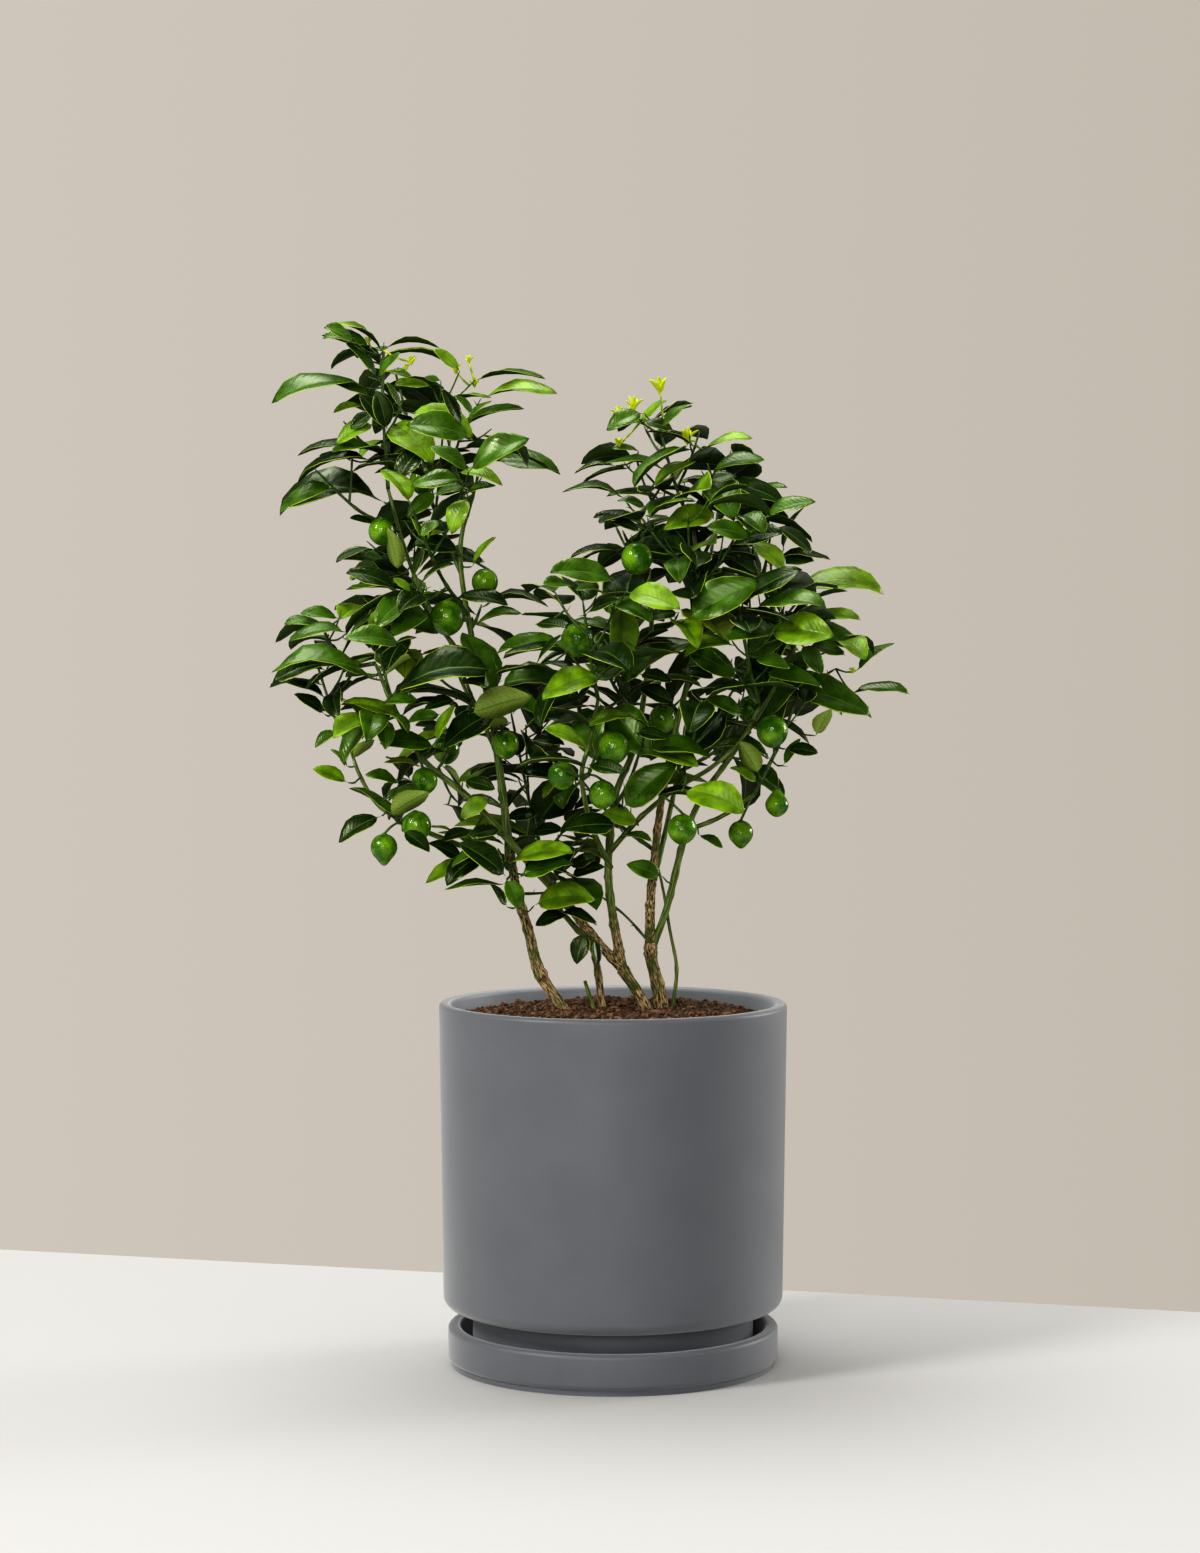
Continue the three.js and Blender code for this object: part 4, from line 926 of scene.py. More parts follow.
def leading_leaf(root, tip, bend, face, random):
    """A leaf from its root to its tip, its upper side turned to the front by an angle."""
    chord = tip - root
    along = chord.normalized()
    reference = UP if abs(along.z) < 0.94 else Vector((1, 0, 0))
    above = (reference - along * reference.dot(along)).normalized()
    above = above * math.cos(face) - Vector((0, 1, 0)) * math.sin(face)
    half = bend / 2
    return dressed(
        dict(
            root=root, heading=along * math.cos(half) + above * math.sin(half),
            upper=above * math.cos(half) - along * math.sin(half),
            length=chord.length * half / math.sin(half), bend=bend,
            fold=varied(LEADING_FOLD, random),
        ),
        random,
    )


def carriers_of(growing, limbs):
    """Places on the twigs and limbs that may carry a leading leaf, each with its owner."""
    twigs = [twig for branch in growing.values() for twig in branch]
    places = [(twig.curve.at(i / 30), twig.owner) for twig in twigs for i in range(31)]
    return places + [(curve.at(i / 60), name) for name, curve in limbs.items() for i in range(6, 61)]


def leading_leaves(growing, limbs, room, leaf_width):
    """The leading leaves, each with the spur that carries it where no twig is near."""
    carriers = carriers_of(growing, limbs)
    seen = as_seen([place for place, _ in carriers])
    random = seeded(SEEDS.leading)
    leaves, spurs = [], []
    for base_x, base_z, tip_x, tip_z, bend, face, tint in LEADING:
        far = np.hypot(seen[:, 0] - base_x, seen[:, 1] - base_z)
        near = np.flatnonzero(far < max(CARRIED.within, far.min() + CARRIED.beyond_nearest))
        best = min(near, key=lambda i: carriers[i][0].y + CARRIED.weight * far[i])
        place, owner = carriers[best]
        shown = abs(face) > FULL_FACE
        for shift in FORWARD if shown else BESIDE:
            depth = place.y + shift
            root = seen_at((base_x, base_z), depth)
            lean = FRONT_LEAN if place.y < FRONT_DEPTH else LEAF_LEAN
            leaf = leading_leaf(root, seen_at((tip_x, tip_z), depth - lean), bend, face, random)
            # its blade finish is partly painted sheen and painted shade, and a shown underside is
            # painted pale
            leaf["tint"], leaf["shown"], leaf["pale_under"] = tint, shown, face < 0
            points = leaf_points(leaf, leaf_width)
            if room.is_free(points, blade_faces()):
                break
        else:
            continue
        room.take(points, blade_faces(), "leaf")
        leaves.append((leaf, points))
        reach = (root - place).length
        if reach > CARRIED.least:
            knee = sagging(place, root, CARRIED.sag)
            spurs.append(Twig([place, knee, root], reach, SPUR, owner))
    return leaves, spurs


def first_fit(slot, tries, sizes, looks, room, shown, roll=0, box=None):
    """The first try of a leaf that has room and leaves the gaps and the shown places open, in a
    list of its own, or an empty list."""
    length, width = sizes
    for attempt in range(tries):
        leaf = dressed(leaf_at(slot, attempt, length), looks)
        if roll:
            leaf["upper"].rotate(Matrix.Rotation((looks() - 0.5) * roll, 3, leaf["heading"]))
        if not faces_out(leaf):
            continue
        points = leaf_points(leaf, width)
        inside = box is None or ((points > box[0]).all() and (points < box[1]).all())
        clear = inside and leaves_sky(points) and keeps_view(points, shown)
        if clear and room.is_free(points, blade_faces()):
            room.take(points, blade_faces(), "leaf")
            return [(leaf, points)]
    return []


def limbs_in(room):
    """The centrelines of the limbs, which take their room in the crown."""
    limbs = {name: Curve(path) for name, (_, path) in LIMBS.items()}
    for name, (radii, _) in LIMBS.items():
        rings = max(4, round(limbs[name].length / 12))
        room.take(*tube(limbs[name], along_limb(radii, rings), 6, rings), name)
    return limbs


def along_limb(radii, rings):
    """The radius of a limb ring by ring, from the radii at its points."""
    return np.interp(np.linspace(0, len(radii) - 1, rings + 1), range(len(radii)), radii)


def twigs_in(room, growing):
    """The twigs of the masses that have room, which are also all that is kept in the masses."""
    twigs = []
    for name in MASSES:
        kept = []
        for i, twig in enumerate(growing[name]):
            points, sides = twig.tube()
            if i and not room.is_free(points, sides, name):
                continue
            room.take(points, sides, name)
            kept.append(twig)
        growing[name] = kept
        twigs += kept
    for points in BARE_TWIGS:
        twigs.append(Twig(points, BARE.length, BARE, None))
        room.take(*twigs[-1].tube(), None)
    return twigs


@functools.lru_cache(maxsize=1)
def crown(leaf_length, leaf_width, lime_radius):
    """All that grows on the limbs: twigs, leaves and limes, each tried against what is there."""
    room = Room()
    limbs = limbs_in(room)
    draws = {name: seeded(seed) for name, (*_, seed) in MASSES.items()}
    growing = {name: twigs_of(name, limbs, draws[name]) for name in MASSES}
    twigs = twigs_in(room, growing)
    fruit = hang_limes(growing, room, lime_radius)
    leaves, spurs = leading_leaves(growing, limbs, room, leaf_width)
    twigs += spurs
    shown = [(middle, size * OPEN_LIME) for middle, size, *_ in fruit[:SHOWN_LIMES]]
    middle = np.abs(leaf_master()[0][:, 1] - LEAF_MIDDLE) < NEAR_MIDDLE
    for leaf, points in leaves:
        if leaf["shown"]:
            shown.append((points[middle].mean(0), leaf["length"] * leaf_width * OPEN_LEAF))
    looks = seeded(SEEDS.looks)
    grow = functools.partial(
        first_fit, sizes=(leaf_length, leaf_width), looks=looks, room=room, shown=shown
    )
    for name, branch in growing.items():
        share = SMALL_LEAVED.get(name, 1)
        for slot in [slot for twig in branch for slot in leaf_slots(twig, draws[name], share)]:
            leaves += grow(slot, LEAF_TRIES, roll=OWN_ROLL)
    for name, branch in growing.items():
        low, high = (np.array(corner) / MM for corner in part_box(name))
        for spur in [spur for twig in branch for spur in spurs_of(twig, looks)]:
            points, sides = spur.tube(5, 6)
            if not room.is_free(points, sides, name):
                continue
            added = []
            smaller = varied(SPUR_LEAF_SIZE, looks) * SMALL_LEAVED.get(name, 1)
            for slot in leaf_slots(spur, looks, smaller):
                added += grow(slot, SPUR_LEAF_TRIES, box=(low - BOX_SLACK, high + BOX_SLACK))
            if added:
                twigs.append(spur)
                leaves += added
    return Values(twigs=twigs, leaves=leaves, limes=fruit)


def dressed(leaf, random):
    """A leaf with its small own turns and waves."""
    leaf["twist"] = (random() - 0.5) * LEAF_TWIST
    leaf["wave"] = varied(LEAF_DRAWS.wave, random)
    leaf["fold"] += EXTRA_FOLD
    leaf["phase"] = random()
    return leaf


def hang_limes(growing, room, radius):
    """Each lime with the curve of the stalk it hangs from, from the nearest place on its mass."""
    fruit = []
    for name, centre, share, nipple, neck in LIMES:
        middle = Vector(centre)
        top = middle + UP * radius * share * LIME_LONG * STALK_END
        places = [twig.curve.at(at) for twig in growing[name] for at in LIME_SHARES]
        nearest = min(places, key=lambda place: (place - top).length)
        knee = nearest.lerp(top, 0.5) + UP * STALK_ARCH
        size = radius * share
        axis = Curve([middle - UP * size, middle, middle + UP * size])
        room.take(*tube(axis, [LIME_POLE, size, LIME_POLE], 8, 2), "lime")
        fruit.append((middle, size, nipple, neck, Curve([nearest, knee, top])))
    return fruit


class Heap:
    """Many small shapes gathered into one mesh, with a finish for each face and values for
    each point."""

    def __init__(self):
        self.points, self.faces, self.finishes, self.values = [], [], [], {}
        self.count = 0

    def add(self, points, faces, finishes, **values):
        """Adds one shape, with one finish for all its faces or a list of them."""
        points = np.asarray(points, float)
        self.faces += [[i + self.count for i in face] for face in faces]
        self.finishes += [finishes] * len(faces) if isinstance(finishes, int) else list(finishes)
        self.points.append(points)
        self.count += len(points)
        for key, value in values.items():
            self.values.setdefault(key, []).append(value)

    def mesh(self, name):
        """The mesh of all shapes in metres."""
        mesh = bpy.data.meshes.new(name)
        mesh.from_pydata((np.concatenate(self.points) * MM).tolist(), [], self.faces)
        mesh.polygons.foreach_set("material_index", self.finishes)
        for key, parts in self.values.items():
            joined = np.concatenate(parts).astype(np.float32)
            kind = "FLOAT" if joined.ndim == 1 else "FLOAT_VECTOR"
            attribute = mesh.attributes.new(key, kind, "POINT")
            attribute.data.foreach_set("value" if kind == "FLOAT" else "vector", joined.ravel())
        return mesh


def finished(name, mesh, nodes, materials, smooth=True):
    """A piece of the tree or its pot from a mesh, in place of the solids it stands for."""
    old = bpy.data.objects.get(name)
    if old:
        bpy.data.objects.remove(old)
    for material in materials:
        mesh.materials.append(material)
    mesh.polygons.foreach_set("use_smooth", [smooth] * len(mesh.polygons))
    mesh.update()
    piece = bpy.data.objects.new(name, mesh)
    bpy.context.scene.collection.objects.link(piece)
    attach(piece, "root")
    if nodes:
        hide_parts(*nodes)
    return piece


def spun(name, profile, steps):
    """A closed round shape from its profile of radius and height."""
    bm = bmesh.new()
    verts = [bm.verts.new((radius * MM, 0, height * MM)) for radius, height in profile]
    edges = [bm.edges.new(pair) for pair in zip(verts, verts[1:])]
    bmesh.ops.spin(
        bm, geom=verts + edges, cent=(0, 0, 0), axis=(0, 0, 1), angle=math.tau, steps=steps,
        use_merge=True,
    )
    bmesh.ops.remove_doubles(bm, verts=bm.verts, dist=1e-6)
    bmesh.ops.recalc_face_normals(bm, faces=bm.faces)
    mesh = bpy.data.meshes.new(name)
    bm.to_mesh(mesh)
    bm.free()
    return mesh


def quarter_round(r, z, radius, start, stop, steps=8):
    """Points of a quarter-round about (r, z), from one angle to another in quarter turns."""
    angles = [(start + (stop - start) * i / steps) * math.pi / 2 for i in range(steps + 1)]
    return [(r + radius * math.cos(a), z + radius * math.sin(a)) for a in angles]


def stepped(profile, longest):
    """A profile with its long straight runs cut into shorter ones."""
    points = [profile[0]]
    for start, end in zip(profile, profile[1:]):
        count = max(1, math.ceil(math.dist(start, end) / longest))
        points += [
            (start[0] + (end[0] - start[0]) * i / count, start[1] + (end[1] - start[1]) * i / count)
            for i in range(1, count + 1)
        ]
    return points


def linear(colour):
    """An sRGB hex colour as linear red, green, blue and alpha."""
    parts = [int(colour[i : i + 2], 16) / 255 for i in (1, 3, 5)]
    return tuple(p / 12.92 if p <= 0.04045 else ((p + 0.055) / 1.055) ** 2.4 for p in parts) + (1,)


def per_mm(size):
    """The scale at which a pattern on coordinates in metres has features of a size in mm."""
    return 1 / (size * MM)


def add(tree, kind, links=None, stops=None, **settings):
    """One node with its settings, its colour stops, and a value or a socket for its inputs."""
    new = tree.nodes.new(kind)
    for key, value in settings.items():
        setattr(new, key, value)
    for i, (place, colour) in enumerate(stops or ()):
        elements = new.color_ramp.elements
        stop = elements[i] if i < len(elements) else elements.new(place)
        stop.position = place
        stop.color = colour
    for key, value in (links or {}).items():
        if isinstance(value, bpy.types.NodeSocket):
            tree.links.new(value, new.inputs[key])
        else:
            new.inputs[key].default_value = value
    return new


def begun(name):
    """A material without nodes yet, and its node tree."""
    made = bpy.data.materials.get(name) or bpy.data.materials.new(name)
    made.use_nodes = True
    tree = made.node_tree
    tree.nodes.clear()
    return made, tree


def on_piece(tree):
    """Places on the piece, in metres in the frame of the solids."""
    return add(tree, "ShaderNodeTexCoord").outputs["Object"]


def surfaced(made, **sockets):
    """A material with its shader, from plain values and from what its nodes give."""
    tree = made.node_tree
    inputs = {key.replace("_", " "): value for key, value in sockets.items()}
    shader = add(tree, "ShaderNodeBsdfPrincipled", inputs)
    add(tree, "ShaderNodeOutputMaterial", {"Surface": shader.outputs[0]})
    return made


def cloudy(tree, place, scale, detail, **more):
    """Soft noise at a scale."""
    inputs = {"Vector": place, "Scale": scale, "Detail": detail, **more}
    return add(tree, "ShaderNodeTexNoise", inputs).outputs[0]


def ranged(tree, value, low, high, start=0, end=1):
    """A value from low to high, as one from start to end."""
    inputs = {"Value": value, "From Min": low, "From Max": high, "To Min": start, "To Max": end}
    return add(tree, "ShaderNodeMapRange", inputs).outputs[0]


def graded(tree, value, *stops):
    """The colour of a value between stops, each of a value and a colour."""
    return add(tree, "ShaderNodeValToRGB", {"Fac": value}, stops=stops).outputs[0]


def mixed(tree, share, first, second, way="MIX"):
    """Two colours mixed by a share, or multiplied."""
    inputs = {0: share, 6: first, 7: second}
    return add(tree, "ShaderNodeMix", inputs, data_type="RGBA", blend_type=way).outputs[2]


def reckoned(tree, operation, *values):
    """A sum, a product or another operation on values."""
    return add(tree, "ShaderNodeMath", dict(enumerate(values)), operation=operation).outputs[0]


def raised(tree, height, strength, depth, **settings):
    """Relief of a depth in mm."""
    inputs = {"Height": height, "Strength": strength, "Distance": depth * MM}
    return add(tree, "ShaderNodeBump", inputs, **settings).outputs[0]


def toned(colour, tone=1):
    """A colour, made darker or lighter, with its alpha."""
    return tuple(min(1, part * tone) for part in colour) + (1,)


def stoneware(name, colour):
    """Glazed stoneware, dipped in a matt glaze and fired: a soft even sheen, with the faint
    clouding and pin-fine grain of the glaze."""
    made, tree = begun(name)
    place = on_piece(tree)
    clouds = cloudy(tree, place, per_mm(45), 3, Roughness=0.55)
    grain = cloudy(tree, place, per_mm(0.9), 2)
    tint = graded(tree, clouds, (0.35, toned(colour, 0.96)), (0.65, toned(colour, 1.04)))
    specks = ranged(tree, grain, 0.3, 0.42, 0.9, 1)
    return surfaced(
        made,
        Base_Color=mixed(tree, 1, tint, specks, "MULTIPLY"),
        Roughness=ranged(tree, clouds, 0.3, 0.7, 0.42, 0.5),
        Normal=raised(tree, grain, 0.12, 0.05),
        IOR=1.5, Specular_IOR_Level=0.4, Sheen_Weight=0.34, Sheen_Roughness=0.5,
    )


def crumbly(name, low, high, grit=1.4):
    """Peat and bark potting mix, loose and dry on top: matt, crumb by crumb lighter or darker."""
    made, tree = begun(name)
    place = on_piece(tree)
    crumbs = add(tree, "ShaderNodeTexVoronoi", {"Vector": place, "Scale": per_mm(grit * 1.8)})
    fine = cloudy(tree, place, per_mm(grit * 3), 5)
    both = reckoned(tree, "MULTIPLY", crumbs.outputs["Distance"], fine)
    return surfaced(
        made,
        Base_Color=graded(tree, both, (0.1, linear(low)), (0.38, linear(high))),
        Normal=raised(tree, both, 0.7, grit),
        Roughness=0.95, Specular_IOR_Level=0.2,
    )


def bark(ridge, crack, green, streak):
    """Citrus bark: old wood in tan corky ridges with dark cracks between them, young wood green
    and smooth with pale streaks along it."""
    made, tree = begun("fissured_citrus_bark")
    grain = add(tree, "ShaderNodeAttribute", attribute_name="grain").outputs["Vector"]
    age = add(tree, "ShaderNodeAttribute", attribute_name="age").outputs["Fac"]
    stretch = add(tree, "ShaderNodeMapping", {"Vector": grain, "Scale": (1.05, 1.05, 0.22)})
    cracks = cloudy(tree, stretch.outputs[0], 1, 6, Roughness=0.62)
    worn = tuple(0.6 * a + 0.4 * b for a, b in zip(crack, ridge))
    old = graded(tree, cracks, (0.43, toned(crack)), (0.51, toned(worn)), (0.6, toned(ridge)))
    patches = cloudy(tree, grain, 0.07, 3)
    mossy = ranged(tree, patches, 0.47, 0.62, 0, 0.75)
    streaks = add(tree, "ShaderNodeMapping", {"Vector": grain, "Scale": (1.3, 1.3, 0.09)})
    pale = cloudy(tree, streaks.outputs[0], 1, 3)
    young = graded(tree, pale, (0.45, toned(green)), (0.68, toned(streak)))
    blend = ranged(tree, reckoned(tree, "ADD", age, patches), 0.72, 1.12)
    relief = reckoned(tree, "MULTIPLY", cracks, ranged(tree, blend, 0, 1, 0.2, 1))
    return surfaced(
        made,
        Base_Color=mixed(tree, blend, young, mixed(tree, mossy, old, toned(green))),
        Roughness=ranged(tree, blend, 0, 1, 0.55, 0.92),
        Normal=raised(tree, relief, 0.8, 0.6),
        Specular_IOR_Level=0.3,
    )


def shoot(name, colour, pale):
    """Green citrus shoot, not yet woody: smooth and a little waxy, mottled with paler green."""
    made, tree = begun(name)
    place = on_piece(tree)
    mottle = cloudy(tree, place, per_mm(5), 4)
    tint = graded(tree, mottle, (0.4, toned(colour)), (0.66, toned(pale)))
    return surfaced(made, Base_Color=tint, Roughness=0.5, Specular_IOR_Level=0.4)


def side_veins(tree, place, count=11, slant=2.6):
    """The side veins of a leaf, which run out from its midrib towards the tip: how far each place
    is from the nearest one, as a share of their spacing."""
    blade = add(tree, "ShaderNodeAttribute", attribute_name="blade").outputs["Vector"]
    part = add(tree, "ShaderNodeSeparateXYZ", {0: blade})
    breadth = reckoned(tree, "ABSOLUTE", part.outputs[0])
    slope = reckoned(tree, "MULTIPLY", breadth, slant)
    run = reckoned(tree, "MULTIPLY_ADD", part.outputs[1], count, slope)
    veins = reckoned(tree, "SUBTRACT", run, cloudy(tree, place, per_mm(9), 2))
    return reckoned(tree, "PINGPONG", veins, 0.5)


def leaf_blade(name, colour, vein, gloss=0.31):
    """The upper side of a citrus leaf, grown with a thick wax skin: a deep green that shines
    softly, a little puckered between faint paler side veins."""
    made, tree = begun(name)
    place = on_piece(tree)
    comb = side_veins(tree, place)
    line = ranged(tree, comb, 0, 0.13, 0.2, 0)
    mottle = cloudy(tree, place, per_mm(11), 4)
    ground = graded(tree, mottle, (0.36, toned(colour, 0.6)), (0.66, toned(colour, 1.35)))
    pucker = reckoned(tree, "MULTIPLY_ADD", mottle, 2, comb)
    return surfaced(
        made,
        Base_Color=mixed(tree, line, ground, toned(vein)),
        Roughness=ranged(tree, mottle, 0.3, 0.7, gloss - 0.05, gloss + 0.1),
        Normal=raised(tree, pucker, 0.5, 0.3),
        Specular_IOR_Level=0.5, Specular_Tint=(0.9, 1, 0.64, 1),
    )


def leaf_back(name, colour):
    """The underside of a citrus leaf: more olive and duller than the upper side, with its fine
    net of veins standing out."""
    made, tree = begun(name)
    place = on_piece(tree)
    cells = {"Vector": place, "Scale": per_mm(3)}
    net = add(tree, "ShaderNodeTexVoronoi", cells, feature="DISTANCE_TO_EDGE").outputs[0]
    ground = graded(tree, net, (0, toned(colour, 1.25)), (0.12, toned(colour)))
    line = ranged(tree, side_veins(tree, place), 0, 0.12, 0.6, 0)
    return surfaced(
        made,
        Base_Color=mixed(tree, line, ground, toned(colour, 1.7)),
        Normal=raised(tree, net, 0.3, 0.2, invert=True),
        Roughness=0.6, Specular_IOR_Level=0.25,
    )


def lime_peel(colour, pale):
    """Lime peel, unripe: hard, waxy and green, dimpled all over by its oil glands, with paler
    cloudy patches."""
    made, tree = begun("lime_peel")
    place = on_piece(tree)
    cells = {"Vector": place, "Scale": per_mm(1.5)}
    glands = add(tree, "ShaderNodeTexVoronoi", cells, feature="SMOOTH_F1").outputs["Distance"]
    cloud = cloudy(tree, place, per_mm(11), 3)
    tint = graded(tree, cloud, (0.38, toned(colour)), (0.68, toned(pale)))
    dots = ranged(tree, glands, 0.1, 0.4, 0.72, 1)
    return surfaced(
        made,
        Base_Color=mixed(tree, 1, tint, dots, "MULTIPLY"),
        Normal=raised(tree, glands, 0.8, 0.35),
        Roughness=0.19, Specular_IOR_Level=0.6, Specular_Tint=(0.95, 1, 0.7, 1),
    )


def table_top(colour):
    """A lacquered board table top: matt white, with the faint grain of rolled lacquer."""
    made, tree = begun("white_lacquered_board")
    place = on_piece(tree)
    grain = cloudy(tree, place, per_mm(6), 2)
    tint = graded(tree, grain, (0.3, toned(colour, 0.985)), (0.7, toned(colour)))
    return surfaced(made, Base_Color=tint, Roughness=0.6, Specular_IOR_Level=0.3)


def colour_setting(name, description, colour):
    """A colour in the panel, from its sRGB hex value."""
    return FloatVectorProperty(
        name=name, description=description, subtype="COLOR", size=3, min=0, max=1,
        default=linear(colour)[:3],
    )


class KeyLimeCrown(PropertyGroup):
    """Sizes and colours of the leaves, twigs and limes."""

    leaf_length: FloatProperty(
        name="Leaf length", description="Length of a full-grown leaf with its stalk, in millimetres",
        default=66, min=30, max=110,
    )
    leaf_width: FloatProperty(
        name="Leaf width", description="Greatest width of a leaf as a share of its length",
        default=0.5, min=0.2, max=0.8, subtype="FACTOR",
    )
    lime_radius: FloatProperty(
        name="Lime radius", description="Radius of a lime, in millimetres", default=10.6, min=6, max=20
    )
    mature: colour_setting("Mature leaf", "Upper side of a full-grown leaf", "#385a02")
    deep: colour_setting("Old leaf", "Upper side of an old, dark leaf", "#152c01")
    fresh: colour_setting("Fresh leaf", "Upper side of a young leaf", "#628206")
    tinged: colour_setting("Tinged leaf", "Upper side of a leaf that turns yellow", "#66780c")
    # painted light: leaves whose underside shows to the front take this paler underside colour
    under_painted_lit: colour_setting("Underside painted lit", "Underside of a shown leaf, painted paler as painted light", "#6c7e34")
    # the dark underside colour is partly the leaf's own and partly painted shade
    under: colour_setting("Leaf underside", "Underside of a leaf", "#26380b")
    margin: colour_setting("Leaf margin", "Pale edge of a leaf", "#98ac2a")
    rib: colour_setting("Midrib", "Midrib and leaf stalk", "#4c681e")
    flush: colour_setting("New growth", "Buds and leaves that have just opened", "#b4c00c")
    lime: colour_setting("Lime", "Peel of an unripe lime", "#2e5a02")
    lime_pale: colour_setting("Lime, pale", "Paler patches of the peel", "#6c960e")
    shoot: colour_setting("Shoot", "Green twigs", "#2f4411")
    shoot_pale: colour_setting("Shoot, pale", "Paler mottling of the twigs", "#4f6a2a")


class KeyLimeBark(PropertyGroup):
    """Relief and colours of the stems and boughs."""

    relief: FloatProperty(
        name="Relief", description="Depth of the ridges of old bark, in millimetres",
        default=0.6, min=0, max=1.5,
    )
    ridge: colour_setting("Ridge", "Corky ridges of old bark", "#bda67a")
    crack: colour_setting("Crack", "Cracks between the ridges", "#35270f")
    green: colour_setting("Green bark", "Bark of young wood", "#3f551a")
    streak: colour_setting("Streak", "Pale streaks of young wood", "#83904a")


class KeyLimePot(PropertyGroup):
    """Smoothness and colours of the pot, the saucer and the soil."""

    steps: IntProperty(
        name="Steps round", description="Faces round the pot", default=160, min=24, max=320
    )
    glaze: colour_setting("Glaze", "Matt glaze of the pot and the saucer", "#575a5f")
    # painted light: the inner walls are painted paler than the glaze outside
    glaze_painted_lit: colour_setting("Glaze inside", "Inner walls painted paler, as painted light", "#8b8f95")
    crumbs: IntProperty(
        name="Crumbs", description="Loose crumbs on the soil", default=900, min=0, max=3000
    )


class KeyLimeStage(PropertyGroup):
    """Light, backdrop and table."""

    power: FloatProperty(
        name="Main light", description="Power of the main light, in watts",
        default=222, min=0, unit="POWER",
    )
    ambient: FloatProperty(
        name="Room light", description="Strength of the light from all round", default=0.66, min=0
    )
    wall_left: colour_setting("Backdrop, left", "Backdrop on the side of the main light", "#b8b2aa")
    wall_right: colour_setting("Backdrop, right", "Backdrop on the far side", "#ada79e")
    table: colour_setting("Table", "Table top", "#adadac")


def crown_of(context):
    """The crown as the panel's sizes give it."""
    settings = context.scene.key_lime_crown
    return crown(settings.leaf_length, settings.leaf_width, settings.lime_radius)


def limb_relief(age_of, depth, collar, thick_knots, seed):
    """How far a limb's surface stands out at each place: ridges of old bark, a small knot or leaf
    scar every so often, its thick knots, and the collar where it leaves its parent or the soil."""
    random = seeded(seed)
    small = SMALL_KNOTS
    knots = []
    for i in range(small.count):
        place = small.first + small.apart * i + small.more * random()
        knots.append((place, random() * math.tau, varied(small.size, random)))

    def swell(angle, along, radius):
        out = np.zeros(len(angle))
        for i, (a, s, r) in enumerate(zip(angle, along, radius)):
            place = Vector(
                (math.cos(a) * r * GRAIN_ROUND, math.sin(a) * r * GRAIN_ROUND, s * GRAIN_ALONG + seed)
            )
            rough = noise.fractal(place, 0.9, 2.1, 4)
            ridge = 1 - abs(noise.noise(place * 1.3 + Vector((7, 3, 1)))) * 3
            out[i] = depth * age_of(s, r) * (ROUGH * rough + RIDGED * ridge) + YOUNG_ROUGH * rough
        for s, a, size in knots:
            reach = np.exp(-(((along - s) / small.reach) ** 2))
            facing = 0.35 + 0.65 * np.clip(np.cos(angle - a), 0, 1) ** 2
            out += reach * facing * size * radius * small.out
        for s, size in thick_knots:
            ring = np.exp(-(((along - s) / THICK_KNOT_REACH) ** 2))
            out += ring * size * radius * (0.75 + 0.25 * np.cos(3 * angle + s))
        return out + radius * collar * np.exp(-along / COLLAR.reach)

    return swell


class KEYLIME_OT_limbs(Operator):
    """Stems and boughs with the relief of their bark"""

    bl_idname = "keylime.limbs"
    bl_label = "Stems and boughs"

    def execute(self, context):
        settings = context.scene.key_lime_bark
        heap = Heap()
        for seed, (name, (radii, path)) in enumerate(LIMBS.items()):
            path = [Vector(p) for p in path]
            if path[0].z <= SOIL.level:
                path[0] = path[0] + (path[0] - path[1]).normalized() * ROOTED
            curve = Curve(path)
            sides, step = STOUT_STEPS if radii[0] > STOUT else SLIM_STEPS
            rings = round(curve.length / step)
            widths = UNDER_BARK * along_limb(radii, rings)

            def age_of(s, r, curve=curve, top=OLD_BARK.get(name, 0)):
                z = curve.at(s / curve.length).z
                return min(1, max(0, 0.5 + (top - z) / AGE_FADE))

            grows_on = any((Vector(p[-1]) - path[0]).length < 3 for _, p in LIMBS.values())
            knots = THICK_KNOTS.get(name, ())
            thick = [(curve.share_at_height(z) * curve.length, size) for z, size in knots]
            collar = 0 if grows_on else COLLAR.out
            swell = limb_relief(age_of, settings.relief, collar, thick, seed)
            points, faces = tube(curve, widths, sides, rings, swell)
            master = tube_master(sides, rings)[0]
            along = master[:, 2] * curve.length
            width = np.interp(master[:, 2] * (len(radii) - 1), range(len(radii)), radii)
            age = np.array([age_of(s, r) for s, r in zip(along, width)])
            around = master[:, :2] * width[:, None]
            grain = np.column_stack([around, along + GRAIN_SHIFT * seed])
            heap.add(points, faces, 0, age=age, grain=grain)
        mesh = heap.mesh("limbs")
        finish = bark(settings.ridge, settings.crack, settings.green, settings.streak)
        finished("limbs", mesh, list(LIMBS), [finish])
        return {"FINISHED"}


